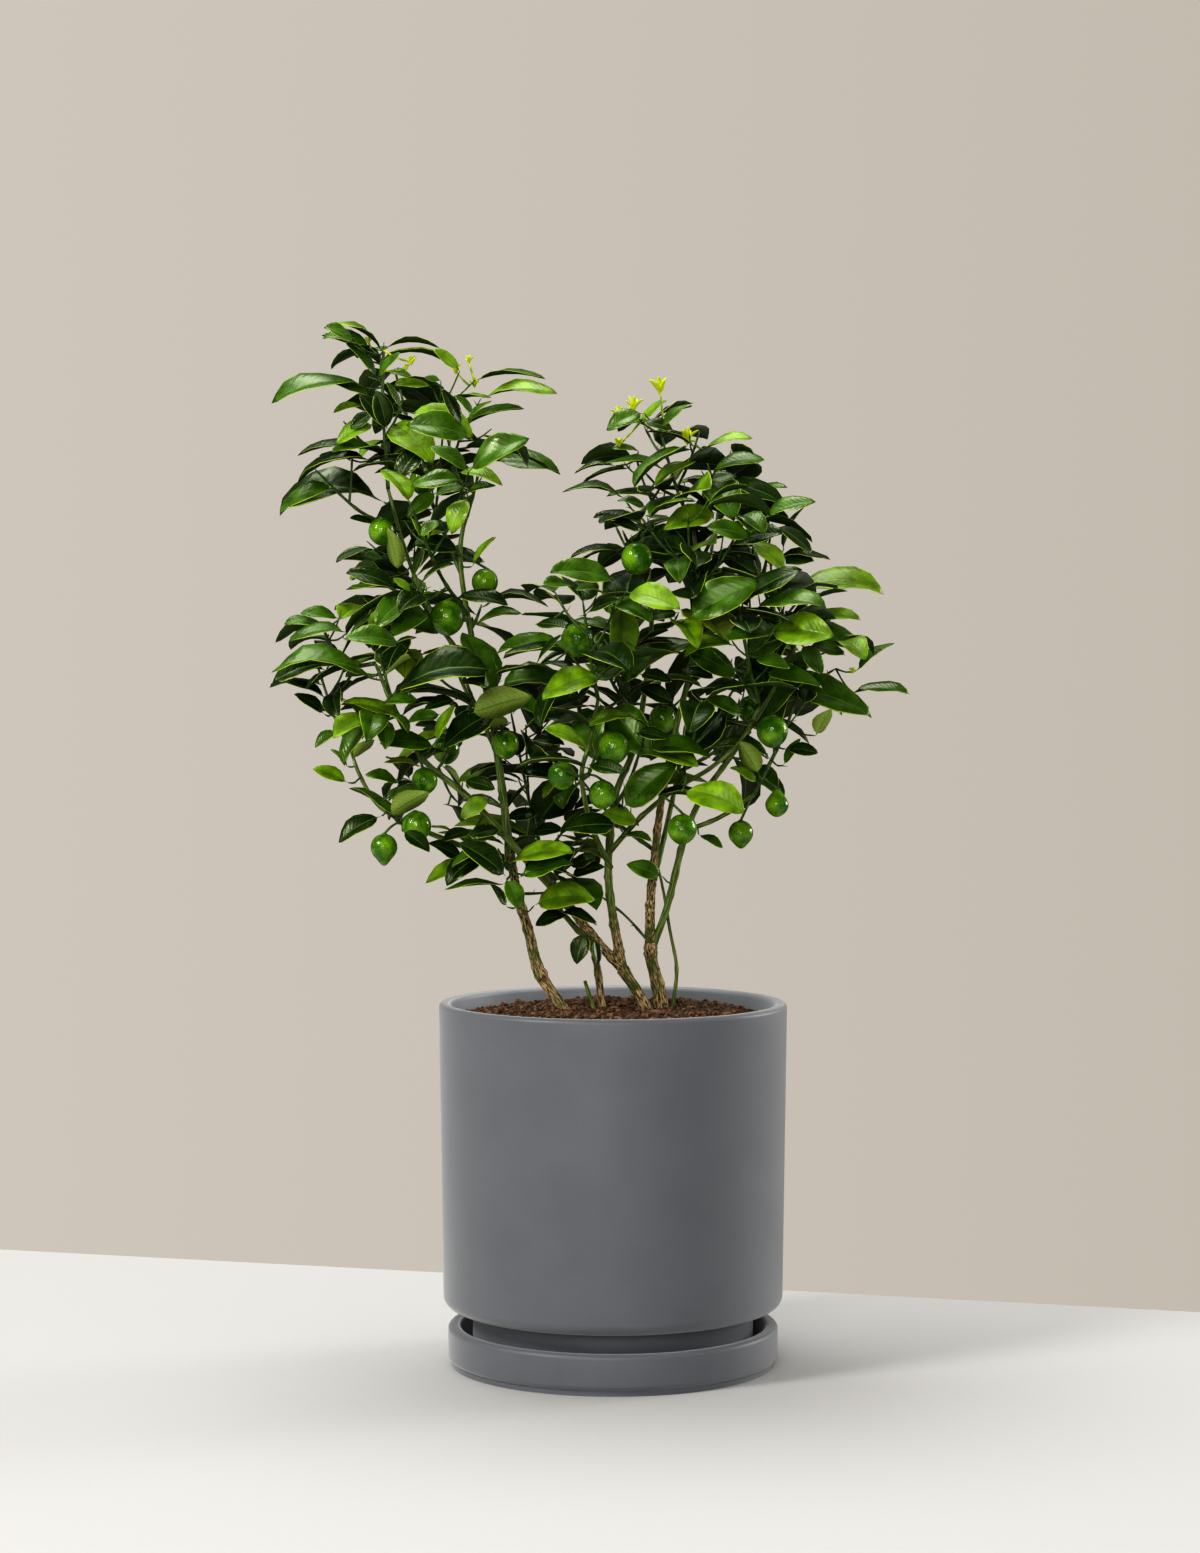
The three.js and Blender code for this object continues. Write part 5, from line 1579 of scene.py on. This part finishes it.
class KEYLIME_OT_twigs(Operator):
    """Green twigs of the crown, with their spines"""

    bl_idname = "keylime.twigs"
    bl_label = "Twigs"

    def execute(self, context):
        settings = context.scene.key_lime_crown
        heap = Heap()
        random = seeded(SEEDS.spines)
        for twig in crown_of(context).twigs:
            rings = max(4, round(twig.length / TWIG_RING))
            radii = twig.radii(rings)
            radii *= 1 + NODE_SWELL * (np.arange(rings + 1) % 4 == 3)
            radii[-1] *= 0.5
            heap.add(*tube(twig.curve, radii, 6, rings), 0)
            for _ in range(round(twig.length / SPINES.apart)):
                if random() < SPINES.missing:
                    continue
                share = varied(SPINES.place, random)
                along = twig.curve.tangent(share)
                out = (outward(along, random() * math.tau) + along * SPINES.ahead).normalized()
                root = twig.curve.at(share)
                line = Curve([root, root + out * varied(SPINES.length, random)])
                heap.add(*tube(line, SPINES.radii, 4, 1), 0)
        mesh = heap.mesh("twigs")
        finish = shoot("green_citrus_shoot", settings.shoot, settings.shoot_pale)
        finished("twigs", mesh, list(MASSES), [finish])
        return {"FINISHED"}


def leaf_tints(settings):
    """The finishes of the leaves: one blade finish for each base colour, and those they share."""
    vein = settings.rib
    return [
        leaf_blade("leaf_mature", settings.mature, vein),
        leaf_blade("leaf_old", settings.deep, vein, 0.3),
        leaf_blade("leaf_fresh", settings.fresh, vein, 0.36),
        leaf_blade("leaf_tinged", settings.tinged, vein, 0.4),
        shoot("leaf_midrib", settings.rib, settings.rib),
        shoot("leaf_margin", settings.margin, settings.margin),
        # the dark underside is partly painted shade; the paler one of shown leaves is painted light
        leaf_back("leaf_underside", settings.under),
        leaf_back("leaf_underside_painted_lit", settings.under_painted_lit),
    ]


class KEYLIME_OT_leaves(Operator):
    """Leaves of the crown, in their base colours spray by spray"""

    bl_idname = "keylime.leaves"
    bl_label = "Leaves"

    def execute(self, context):
        settings = context.scene.key_lime_crown
        heap = Heap()
        master, faces, finishes = leaf_master()
        random = seeded(SEEDS.sprays)
        tints = {}
        for leaf, points in crown_of(context).leaves:
            spray = id(leaf.get("twig"))
            if spray not in tints:
                draw = random()
                tints[spray] = OLD if draw < OLD_UP_TO else MATURE if draw < MATURE_UP_TO else FRESH
            tint = tints[spray]
            if random() < TINGED_SHARE:
                tint = TINGED
            # a shown underside takes the paler colour, painted light; the others take the dark one,
            # partly painted shade
            under = UNDER + (4 if leaf.get("pale_under") else 3)
            blade = leaf.get("tint", tint)
            slots = [{BLADE: blade, UNDER: under}.get(finish, finish + 3) for finish in finishes]
            heap.add(points, faces, slots, blade=master)
        mesh = heap.mesh("leaves")
        finished("leaves", mesh, list(MASSES), leaf_tints(settings))
        return {"FINISHED"}


@functools.lru_cache(maxsize=None)
def ball_master(segments, rings):
    """A sphere of unit radius: its points and faces."""
    bm = bmesh.new()
    bmesh.ops.create_uvsphere(bm, u_segments=segments, v_segments=rings, radius=1)
    return taken_from(bm)


@functools.lru_cache(maxsize=None)
def calyx_master():
    """The five-lobed button that a lime hangs from."""
    bm = bmesh.new()
    bmesh.ops.create_cone(
        bm, cap_ends=True, cap_tris=True, segments=20, radius1=1, radius2=0.45, depth=0.5
    )
    points, faces = taken_from(bm)
    angle = np.arctan2(points[:, 1], points[:, 0])
    low = points[:, 2] < 0
    points[low, :2] *= (1 + 0.3 * np.cos(5 * angle[low]))[:, None]
    return points, faces


class KEYLIME_OT_limes(Operator):
    """Limes on their stalks, each with its calyx and its nipple"""

    bl_idname = "keylime.limes"
    bl_label = "Limes"

    def execute(self, context):
        settings = context.scene.key_lime_crown
        heap = Heap()
        random = seeded(SEEDS.limes)
        for middle, radius, nipple, neck, stalk in crown_of(context).limes:
            unit, faces = ball_master(24, 16)
            tilts = [LIME_LEAN * (random() - 0.5) for _ in range(2)]
            lean = Matrix.Rotation(tilts[0], 3, "X") @ Matrix.Rotation(tilts[1], 3, "Y")
            points = unit * radius
            points[:, 2] *= LIME_LONG
            height = unit[:, 2]
            drawn_out = np.clip(-height - NIPPLE[0], 0, 1) / NIPPLE[1]
            points[:, 2] -= radius * nipple * drawn_out**2
            lower = np.clip(-height, 0, 1)
            points[:, :2] *= (1 - NARROWED_BELOW * nipple * lower**2)[:, None]
            upper = np.clip(height, 0, 1)
            points[:, :2] *= (1 - NARROWED_ABOVE * neck * upper**1.5)[:, None]
            hollow = (np.clip(height - HOLLOW[0], 0, 1) / HOLLOW[1]) ** 2
            points[:, 2] += radius * (neck * upper**3 - HOLLOW_DEPTH * hollow)
            turned = points @ np.array(lean).T + np.array(middle)
            heap.add(turned, faces, 0)
            top = middle + lean @ Vector((0, 0, radius * (LIME_LONG * CALYX_SUNK + neck)))
            button, faces = calyx_master()
            heap.add(button * CALYX_RADIUS @ np.array(lean).T + np.array(top), faces, 1)
            line = Curve([stalk.points[0], stalk.points[1], top])
            heap.add(*tube(line, np.linspace(*STALK_RADII, 9), 7, 8), 1)
        mesh = heap.mesh("limes")
        finishes = [
            lime_peel(settings.lime, settings.lime_pale),
            shoot("lime_stalk", settings.shoot, settings.rib),
        ]
        finished("limes", mesh, sorted({lime[0] for lime in LIMES}), finishes)
        return {"FINISHED"}


class KEYLIME_OT_flush(Operator):
    """New growth: young shoots above the crown, each with a tuft of buds and small leaves"""

    bl_idname = "keylime.flush"
    bl_label = "New growth"

    def execute(self, context):
        settings = context.scene.key_lime_crown
        heap = Heap()
        random = seeded(SEEDS.tufts)
        _, faces, _ = leaf_master()
        twigs = crown_of(context).twigs
        places = [twig.curve.at(share / 20) for twig in twigs for share in range(8, 21)]
        for *tip, share in FLUSH:
            tip = Vector(tip)
            root = min(places, key=lambda place: (place - tip).length)
            line = Curve([root, sagging(root, tip, TUFT.sag), tip])
            heap.add(*tube(line, np.linspace(*TUFT.shoot, 7), 5, 6), 1)
            azimuth = random() * math.tau
            for i in range(TUFT.leaves):
                azimuth += GOLDEN_ANGLE
                open_out = TUFT.closed + TUFT.opened * i / TUFT.leaves
                heading = (UP + outward(UP, azimuth) * open_out).normalized()
                upper = (UP - heading * heading.z).normalized()
                length = (TUFT.least + TUFT.next * i + TUFT.more * random()) * share
                leaf = dict(
                    root=tip - UP * TUFT.apart * i * share, heading=heading, upper=upper,
                    length=length, bend=varied(TUFT.bend, random), fold=TUFT.fold,
                )
                heap.add(leaf_points(leaf, TUFT.width), faces, 0)
        mesh = heap.mesh("new_growth")
        finishes = [
            shoot("leaf_bud", settings.flush, settings.flush),
            shoot("young_shoot", settings.fresh, settings.flush),
        ]
        finished("new_growth", mesh, (), finishes)
        return {"FINISHED"}


class KEYLIME_OT_pot(Operator):
    """Pot and saucer of glazed stoneware, with the inner walls painted paler as painted light"""

    bl_idname = "keylime.pot"
    bl_label = "Pot and saucer"

    def execute(self, context):
        settings = context.scene.key_lime_pot
        # the inner walls are painted a paler grey, as painted light in place of the shade that falls
        # inside the pot and the saucer
        glazes = [
            stoneware("matt_glazed_stoneware", settings.glaze),
            stoneware("matt_glazed_stoneware_painted_lit", settings.glaze_painted_lit),
        ]
        s, p = SAUCER, POT
        saucer = [
            (0, 0),
            (s.ring, 0),
            (s.ring, s.step),
            *quarter_round(s.radius - s.step, 2 * s.step, s.step, -1, 0),
            *quarter_round(s.radius - s.lip, s.height - s.lip, s.lip, 0, 1),
            *quarter_round(s.radius - s.wall + s.lip, s.height - s.lip, s.lip, 1, 2),
            *quarter_round(s.radius - s.wall - s.fillet, s.floor + s.fillet, s.fillet, 0, -1)[1:],
            (0, s.floor),
        ]
        pot = [
            (0, POT_BOTTOM),
            (p.foot, POT_BOTTOM),
            (p.foot, p.skirt - p.sag),
            *quarter_round(p.base - p.turn, p.skirt - p.sag + p.turn, p.turn, -1, 0),
            *quarter_round(p.rim - p.lip, p.top - p.lip, p.lip, 0, 1),
            *quarter_round(p.rim - p.wall + p.lip, p.top - p.lip, p.lip, 1, 2),
            (p.base - p.wall, p.skirt + p.edge),
            (p.foot - p.wall, p.skirt),
            (p.foot - p.wall, POT_BOTTOM + p.floor),
            (0, POT_BOTTOM + p.floor),
        ]
        from_soil = SOIL.edge_level - PAINTED_LIT_INSIDE.below_soil
        from_floor = s.floor - PAINTED_LIT_INSIDE.below_floor
        shapes = (("pot", pot, p.rim, from_soil), ("saucer", saucer, s.radius, from_floor))
        for name, profile, reach, level in shapes:
            mesh = spun(name + "_glazed", stepped(profile, POT_STEP), settings.steps)
            # inner faces above the soil or the floor take the paler glaze, which is painted light
            for face in mesh.polygons:
                x, y, z = face.center
                inner = (x * face.normal.x + y * face.normal.y) <= 0
                within = math.hypot(x, y) / MM < reach - PAINTED_LIT_INSIDE.from_rim
                face.material_index = int(z / MM > level and inner and within)
            piece = finished(name + "_glazed", mesh, [name], glazes)
            mark_sharp(piece.data)
        return {"FINISHED"}


def mark_sharp(mesh, angle=math.radians(50)):
    """Keeps the foot's and the floor's corners crisp in a smooth mesh."""
    bm = bmesh.new()
    bm.from_mesh(mesh)
    for edge in bm.edges:
        edge.smooth = edge.calc_face_angle(0) < angle
    bm.to_mesh(mesh)
    bm.free()


class KEYLIME_OT_soil(Operator):
    """Potting mix with a loose, crumbly top"""

    bl_idname = "keylime.soil"
    bl_label = "Soil"

    def execute(self, context):
        settings = context.scene.key_lime_pot
        p, s = POT, SOIL
        share = (s.edge_level - p.skirt - p.edge) / (p.top - p.skirt - p.edge)
        edge = p.base - p.wall + (p.rim - p.base) * share - s.clear
        middle = ((edge + s.plateau) / 2, (s.level + s.edge_level) / 2 + s.swell)
        bottom = POT_BOTTOM + p.floor + s.clear
        side = [
            (0, bottom),
            (p.foot - p.wall - s.clear, bottom),
            (p.foot - p.wall - s.clear, p.skirt + s.clear),
            (p.base - p.wall - s.clear, p.skirt + p.edge + s.clear),
        ]
        mound = [(edge, s.edge_level), middle, (s.plateau, s.level), (0, s.level)]
        mesh = spun("soil_crumbly", side + stepped(mound, SOIL_STEP), SOIL_ROUND)
        heights = np.zeros(len(mesh.vertices) * 3)
        mesh.vertices.foreach_get("co", heights)
        points = heights.reshape(-1, 3)
        radius = np.hypot(points[:, 0], points[:, 1])
        for i in np.flatnonzero((points[:, 2] > (s.edge_level - 0.5) * MM) & (radius > 1e-6)):
            here = Vector(points[i]) * PER_METRE
            broad = noise.fractal(here / LUMPS.broad, 1, 2, 4) * LUMPS.broad_height
            fine = noise.noise(here / LUMPS.fine) * LUMPS.fine_height
            inner = min(1, max(0, (edge - radius[i] / MM) / LUMPS.fade))
            points[i, 2] += (broad + fine) * inner * MM
        mesh.vertices.foreach_set("co", points.ravel())
        heap = Heap()
        random = seeded(SEEDS.crumbs)
        unit, faces = ball_master(7, 5)
        for _ in range(settings.crumbs):
            reach = (edge - LUMPS.fade) * math.sqrt(random())
            turn = random() * math.tau
            height = float(np.interp(reach, *zip(*reversed(mound))))
            size = CRUMB.least + CRUMB.more * random() ** 3
            chip = random() < CRUMB.chips
            shape = np.array(CHIP_SHAPE if chip else CRUMB_SHAPE) * size
            drift = Vector((turn * CRUMB.differ, 0, reach))
            rough = np.array([noise.noise(Vector(u) * CRUMB.close + drift) for u in unit])
            lumpy = unit * shape * (1 + CRUMB.rough * rough)[:, None]
            tilt = Matrix.Rotation(CRUMB.tilt * (random() - 0.5), 3, "X")
            spin = Matrix.Rotation(turn * CRUMB.turned, 3, "Z") @ tilt
            raised_to = height + CRUMB.raised * size
            here = np.array([reach * math.cos(turn), reach * math.sin(turn), raised_to])
            heap.add(lumpy @ np.array(spin).T + here, faces, 1 if chip else 0)
        ground = crumbly("potting_mix", "#251b13", "#654d3a")
        finishes = [
            crumbly("peat_crumbs", "#33261a", "#79604a"),
            crumbly("bark_chips", "#543a28", "#96755a"),
        ]
        finished("soil_crumbly", mesh, ["soil"], [ground])
        finished("soil_crumbs", heap.mesh("soil_crumbs"), (), finishes, smooth=False)
        return {"FINISHED"}


class KEYLIME_OT_stage(Operator):
    """Table, backdrop, soft light and camera"""

    bl_idname = "keylime.stage"
    bl_label = "Stage"

    def execute(self, context):
        settings = context.scene.key_lime_stage
        scene = context.scene
        scene.view_settings.view_transform = "Standard"
        scene.view_settings.look = "High Contrast"
        self.table(settings)
        self.backdrop(scene, settings)
        for name, place, size, share, colour in LIGHTS:
            self.light(name, place, size, settings.power * share, colour)
        data = bpy.data.cameras.new("camera")
        data.lens = CAMERA.lens
        data.sensor_width = CAMERA.film
        data.clip_end = CAMERA.reach
        camera = bpy.data.objects.new("camera", data)
        camera.location = EYE * MM
        camera.rotation_euler = (math.radians(90 - CAMERA.tilt), 0, 0)
        scene.collection.objects.link(camera)
        scene.camera = camera
        return {"FINISHED"}

    def table(self, settings):
        """A wide board whose back edge crosses behind the pot, with its edges rounded."""
        left, right = Vector(TABLE.left), Vector(TABLE.right)
        along = (right - left).normalized()
        back = Vector((along.y, -along.x))
        corners = [left - along * TABLE.beyond, right + along * TABLE.beyond]
        outline = corners + [corner + back * TABLE.depth for corner in reversed(corners)]
        bm = bmesh.new()
        face = bm.faces.new([bm.verts.new((x * MM, y * MM, 0)) for x, y in outline])
        made = bmesh.ops.extrude_face_region(bm, geom=[face])
        lowered = [g for g in made["geom"] if isinstance(g, bmesh.types.BMVert)]
        bmesh.ops.translate(bm, verts=lowered, vec=(0, 0, -TABLE.thick * MM))
        bmesh.ops.recalc_face_normals(bm, faces=bm.faces)
        bmesh.ops.bevel(
            bm, geom=list(bm.edges), offset=TABLE.edge * MM, segments=3, profile=0.5,
            affect="EDGES", material=-1,
        )
        mesh = bpy.data.meshes.new("table")
        bm.to_mesh(mesh)
        bm.free()
        mesh.materials.append(table_top(settings.table))
        table = bpy.data.objects.new("table", mesh)
        bpy.context.scene.collection.objects.link(table)

    def backdrop(self, scene, settings):
        """A plain wall all round, painted a little brighter on the side of the main light as painted
        light, and the soft even light of the room, which is dark in reflections."""
        world = bpy.data.worlds.new("studio")
        world.use_nodes = True
        tree = world.node_tree
        tree.nodes.clear()
        way = add(tree, "ShaderNodeTexCoord").outputs["Generated"]
        part = add(tree, "ShaderNodeSeparateXYZ", {0: way})
        across = ranged(tree, part.outputs[0], -BACKDROP_BLEND, BACKDROP_BLEND)
        # painted light: the wall is painted brighter on the side of the main light
        wall = mixed(tree, across, toned(settings.wall_left), toned(settings.wall_right))
        shade = add(tree, "ShaderNodeBackground", {"Color": wall, "Strength": 1})
        rays = add(tree, "ShaderNodeLightPath").outputs
        least = IN_REFLECTIONS * settings.ambient
        dimmed = ranged(tree, rays["Is Glossy Ray"], 0, 1, settings.ambient, least)
        room = add(tree, "ShaderNodeBackground", {"Color": ROOM_TINT, "Strength": dimmed})
        parts = {0: rays["Is Camera Ray"], 1: room.outputs[0], 2: shade.outputs[0]}
        both = add(tree, "ShaderNodeMixShader", parts)
        add(tree, "ShaderNodeOutputWorld", {"Surface": both.outputs[0]})
        scene.world = world

    def light(self, name, place, size, power, colour):
        """A soft box that faces the tree."""
        data = bpy.data.lights.new(name, "AREA")
        data.shape = "DISK"
        data.size = size
        data.energy = power
        data.color = colour
        box = bpy.data.objects.new(name, data)
        box.location = place
        aim = Vector(LIT_PLACE) - Vector(place)
        box.rotation_euler = aim.to_track_quat("-Z", "Y").to_euler()
        box.visible_camera = False
        bpy.context.scene.collection.objects.link(box)


class KEYLIME_PT_panel(Panel):
    """The pieces of the tree, each with its settings"""

    bl_idname = "KEYLIME_PT_panel"
    bl_label = "Key lime tree"
    bl_space_type = "VIEW_3D"
    bl_region_type = "UI"
    bl_category = "Key lime"

    def draw(self, context):
        for group in GROUPS:
            settings = getattr(context.scene, group)
            box = self.layout.box()
            for key in settings.__annotations__:
                box.prop(settings, key)
        for operator in PIECES:
            self.layout.operator(operator.bl_idname)


GROUPS = {
    "key_lime_crown": KeyLimeCrown,
    "key_lime_bark": KeyLimeBark,
    "key_lime_pot": KeyLimePot,
    "key_lime_stage": KeyLimeStage,
}
PIECES = [
    KEYLIME_OT_limbs,
    KEYLIME_OT_twigs,
    KEYLIME_OT_leaves,
    KEYLIME_OT_limes,
    KEYLIME_OT_flush,
    KEYLIME_OT_pot,
    KEYLIME_OT_soil,
    KEYLIME_OT_stage,
]


def register():
    for kind in [*GROUPS.values(), *PIECES, KEYLIME_PT_panel]:
        bpy.utils.register_class(kind)
    for group, kind in GROUPS.items():
        setattr(bpy.types.Scene, group, PointerProperty(type=kind))


def unregister():
    for group in GROUPS:
        delattr(bpy.types.Scene, group)
    for kind in reversed([*GROUPS.values(), *PIECES, KEYLIME_PT_panel]):
        bpy.utils.unregister_class(kind)


def main():
    register()
    for operator in PIECES:
        group, name = operator.bl_idname.split(".")
        getattr(getattr(bpy.ops, group), name)()


if __name__ == "__main__":
    main()
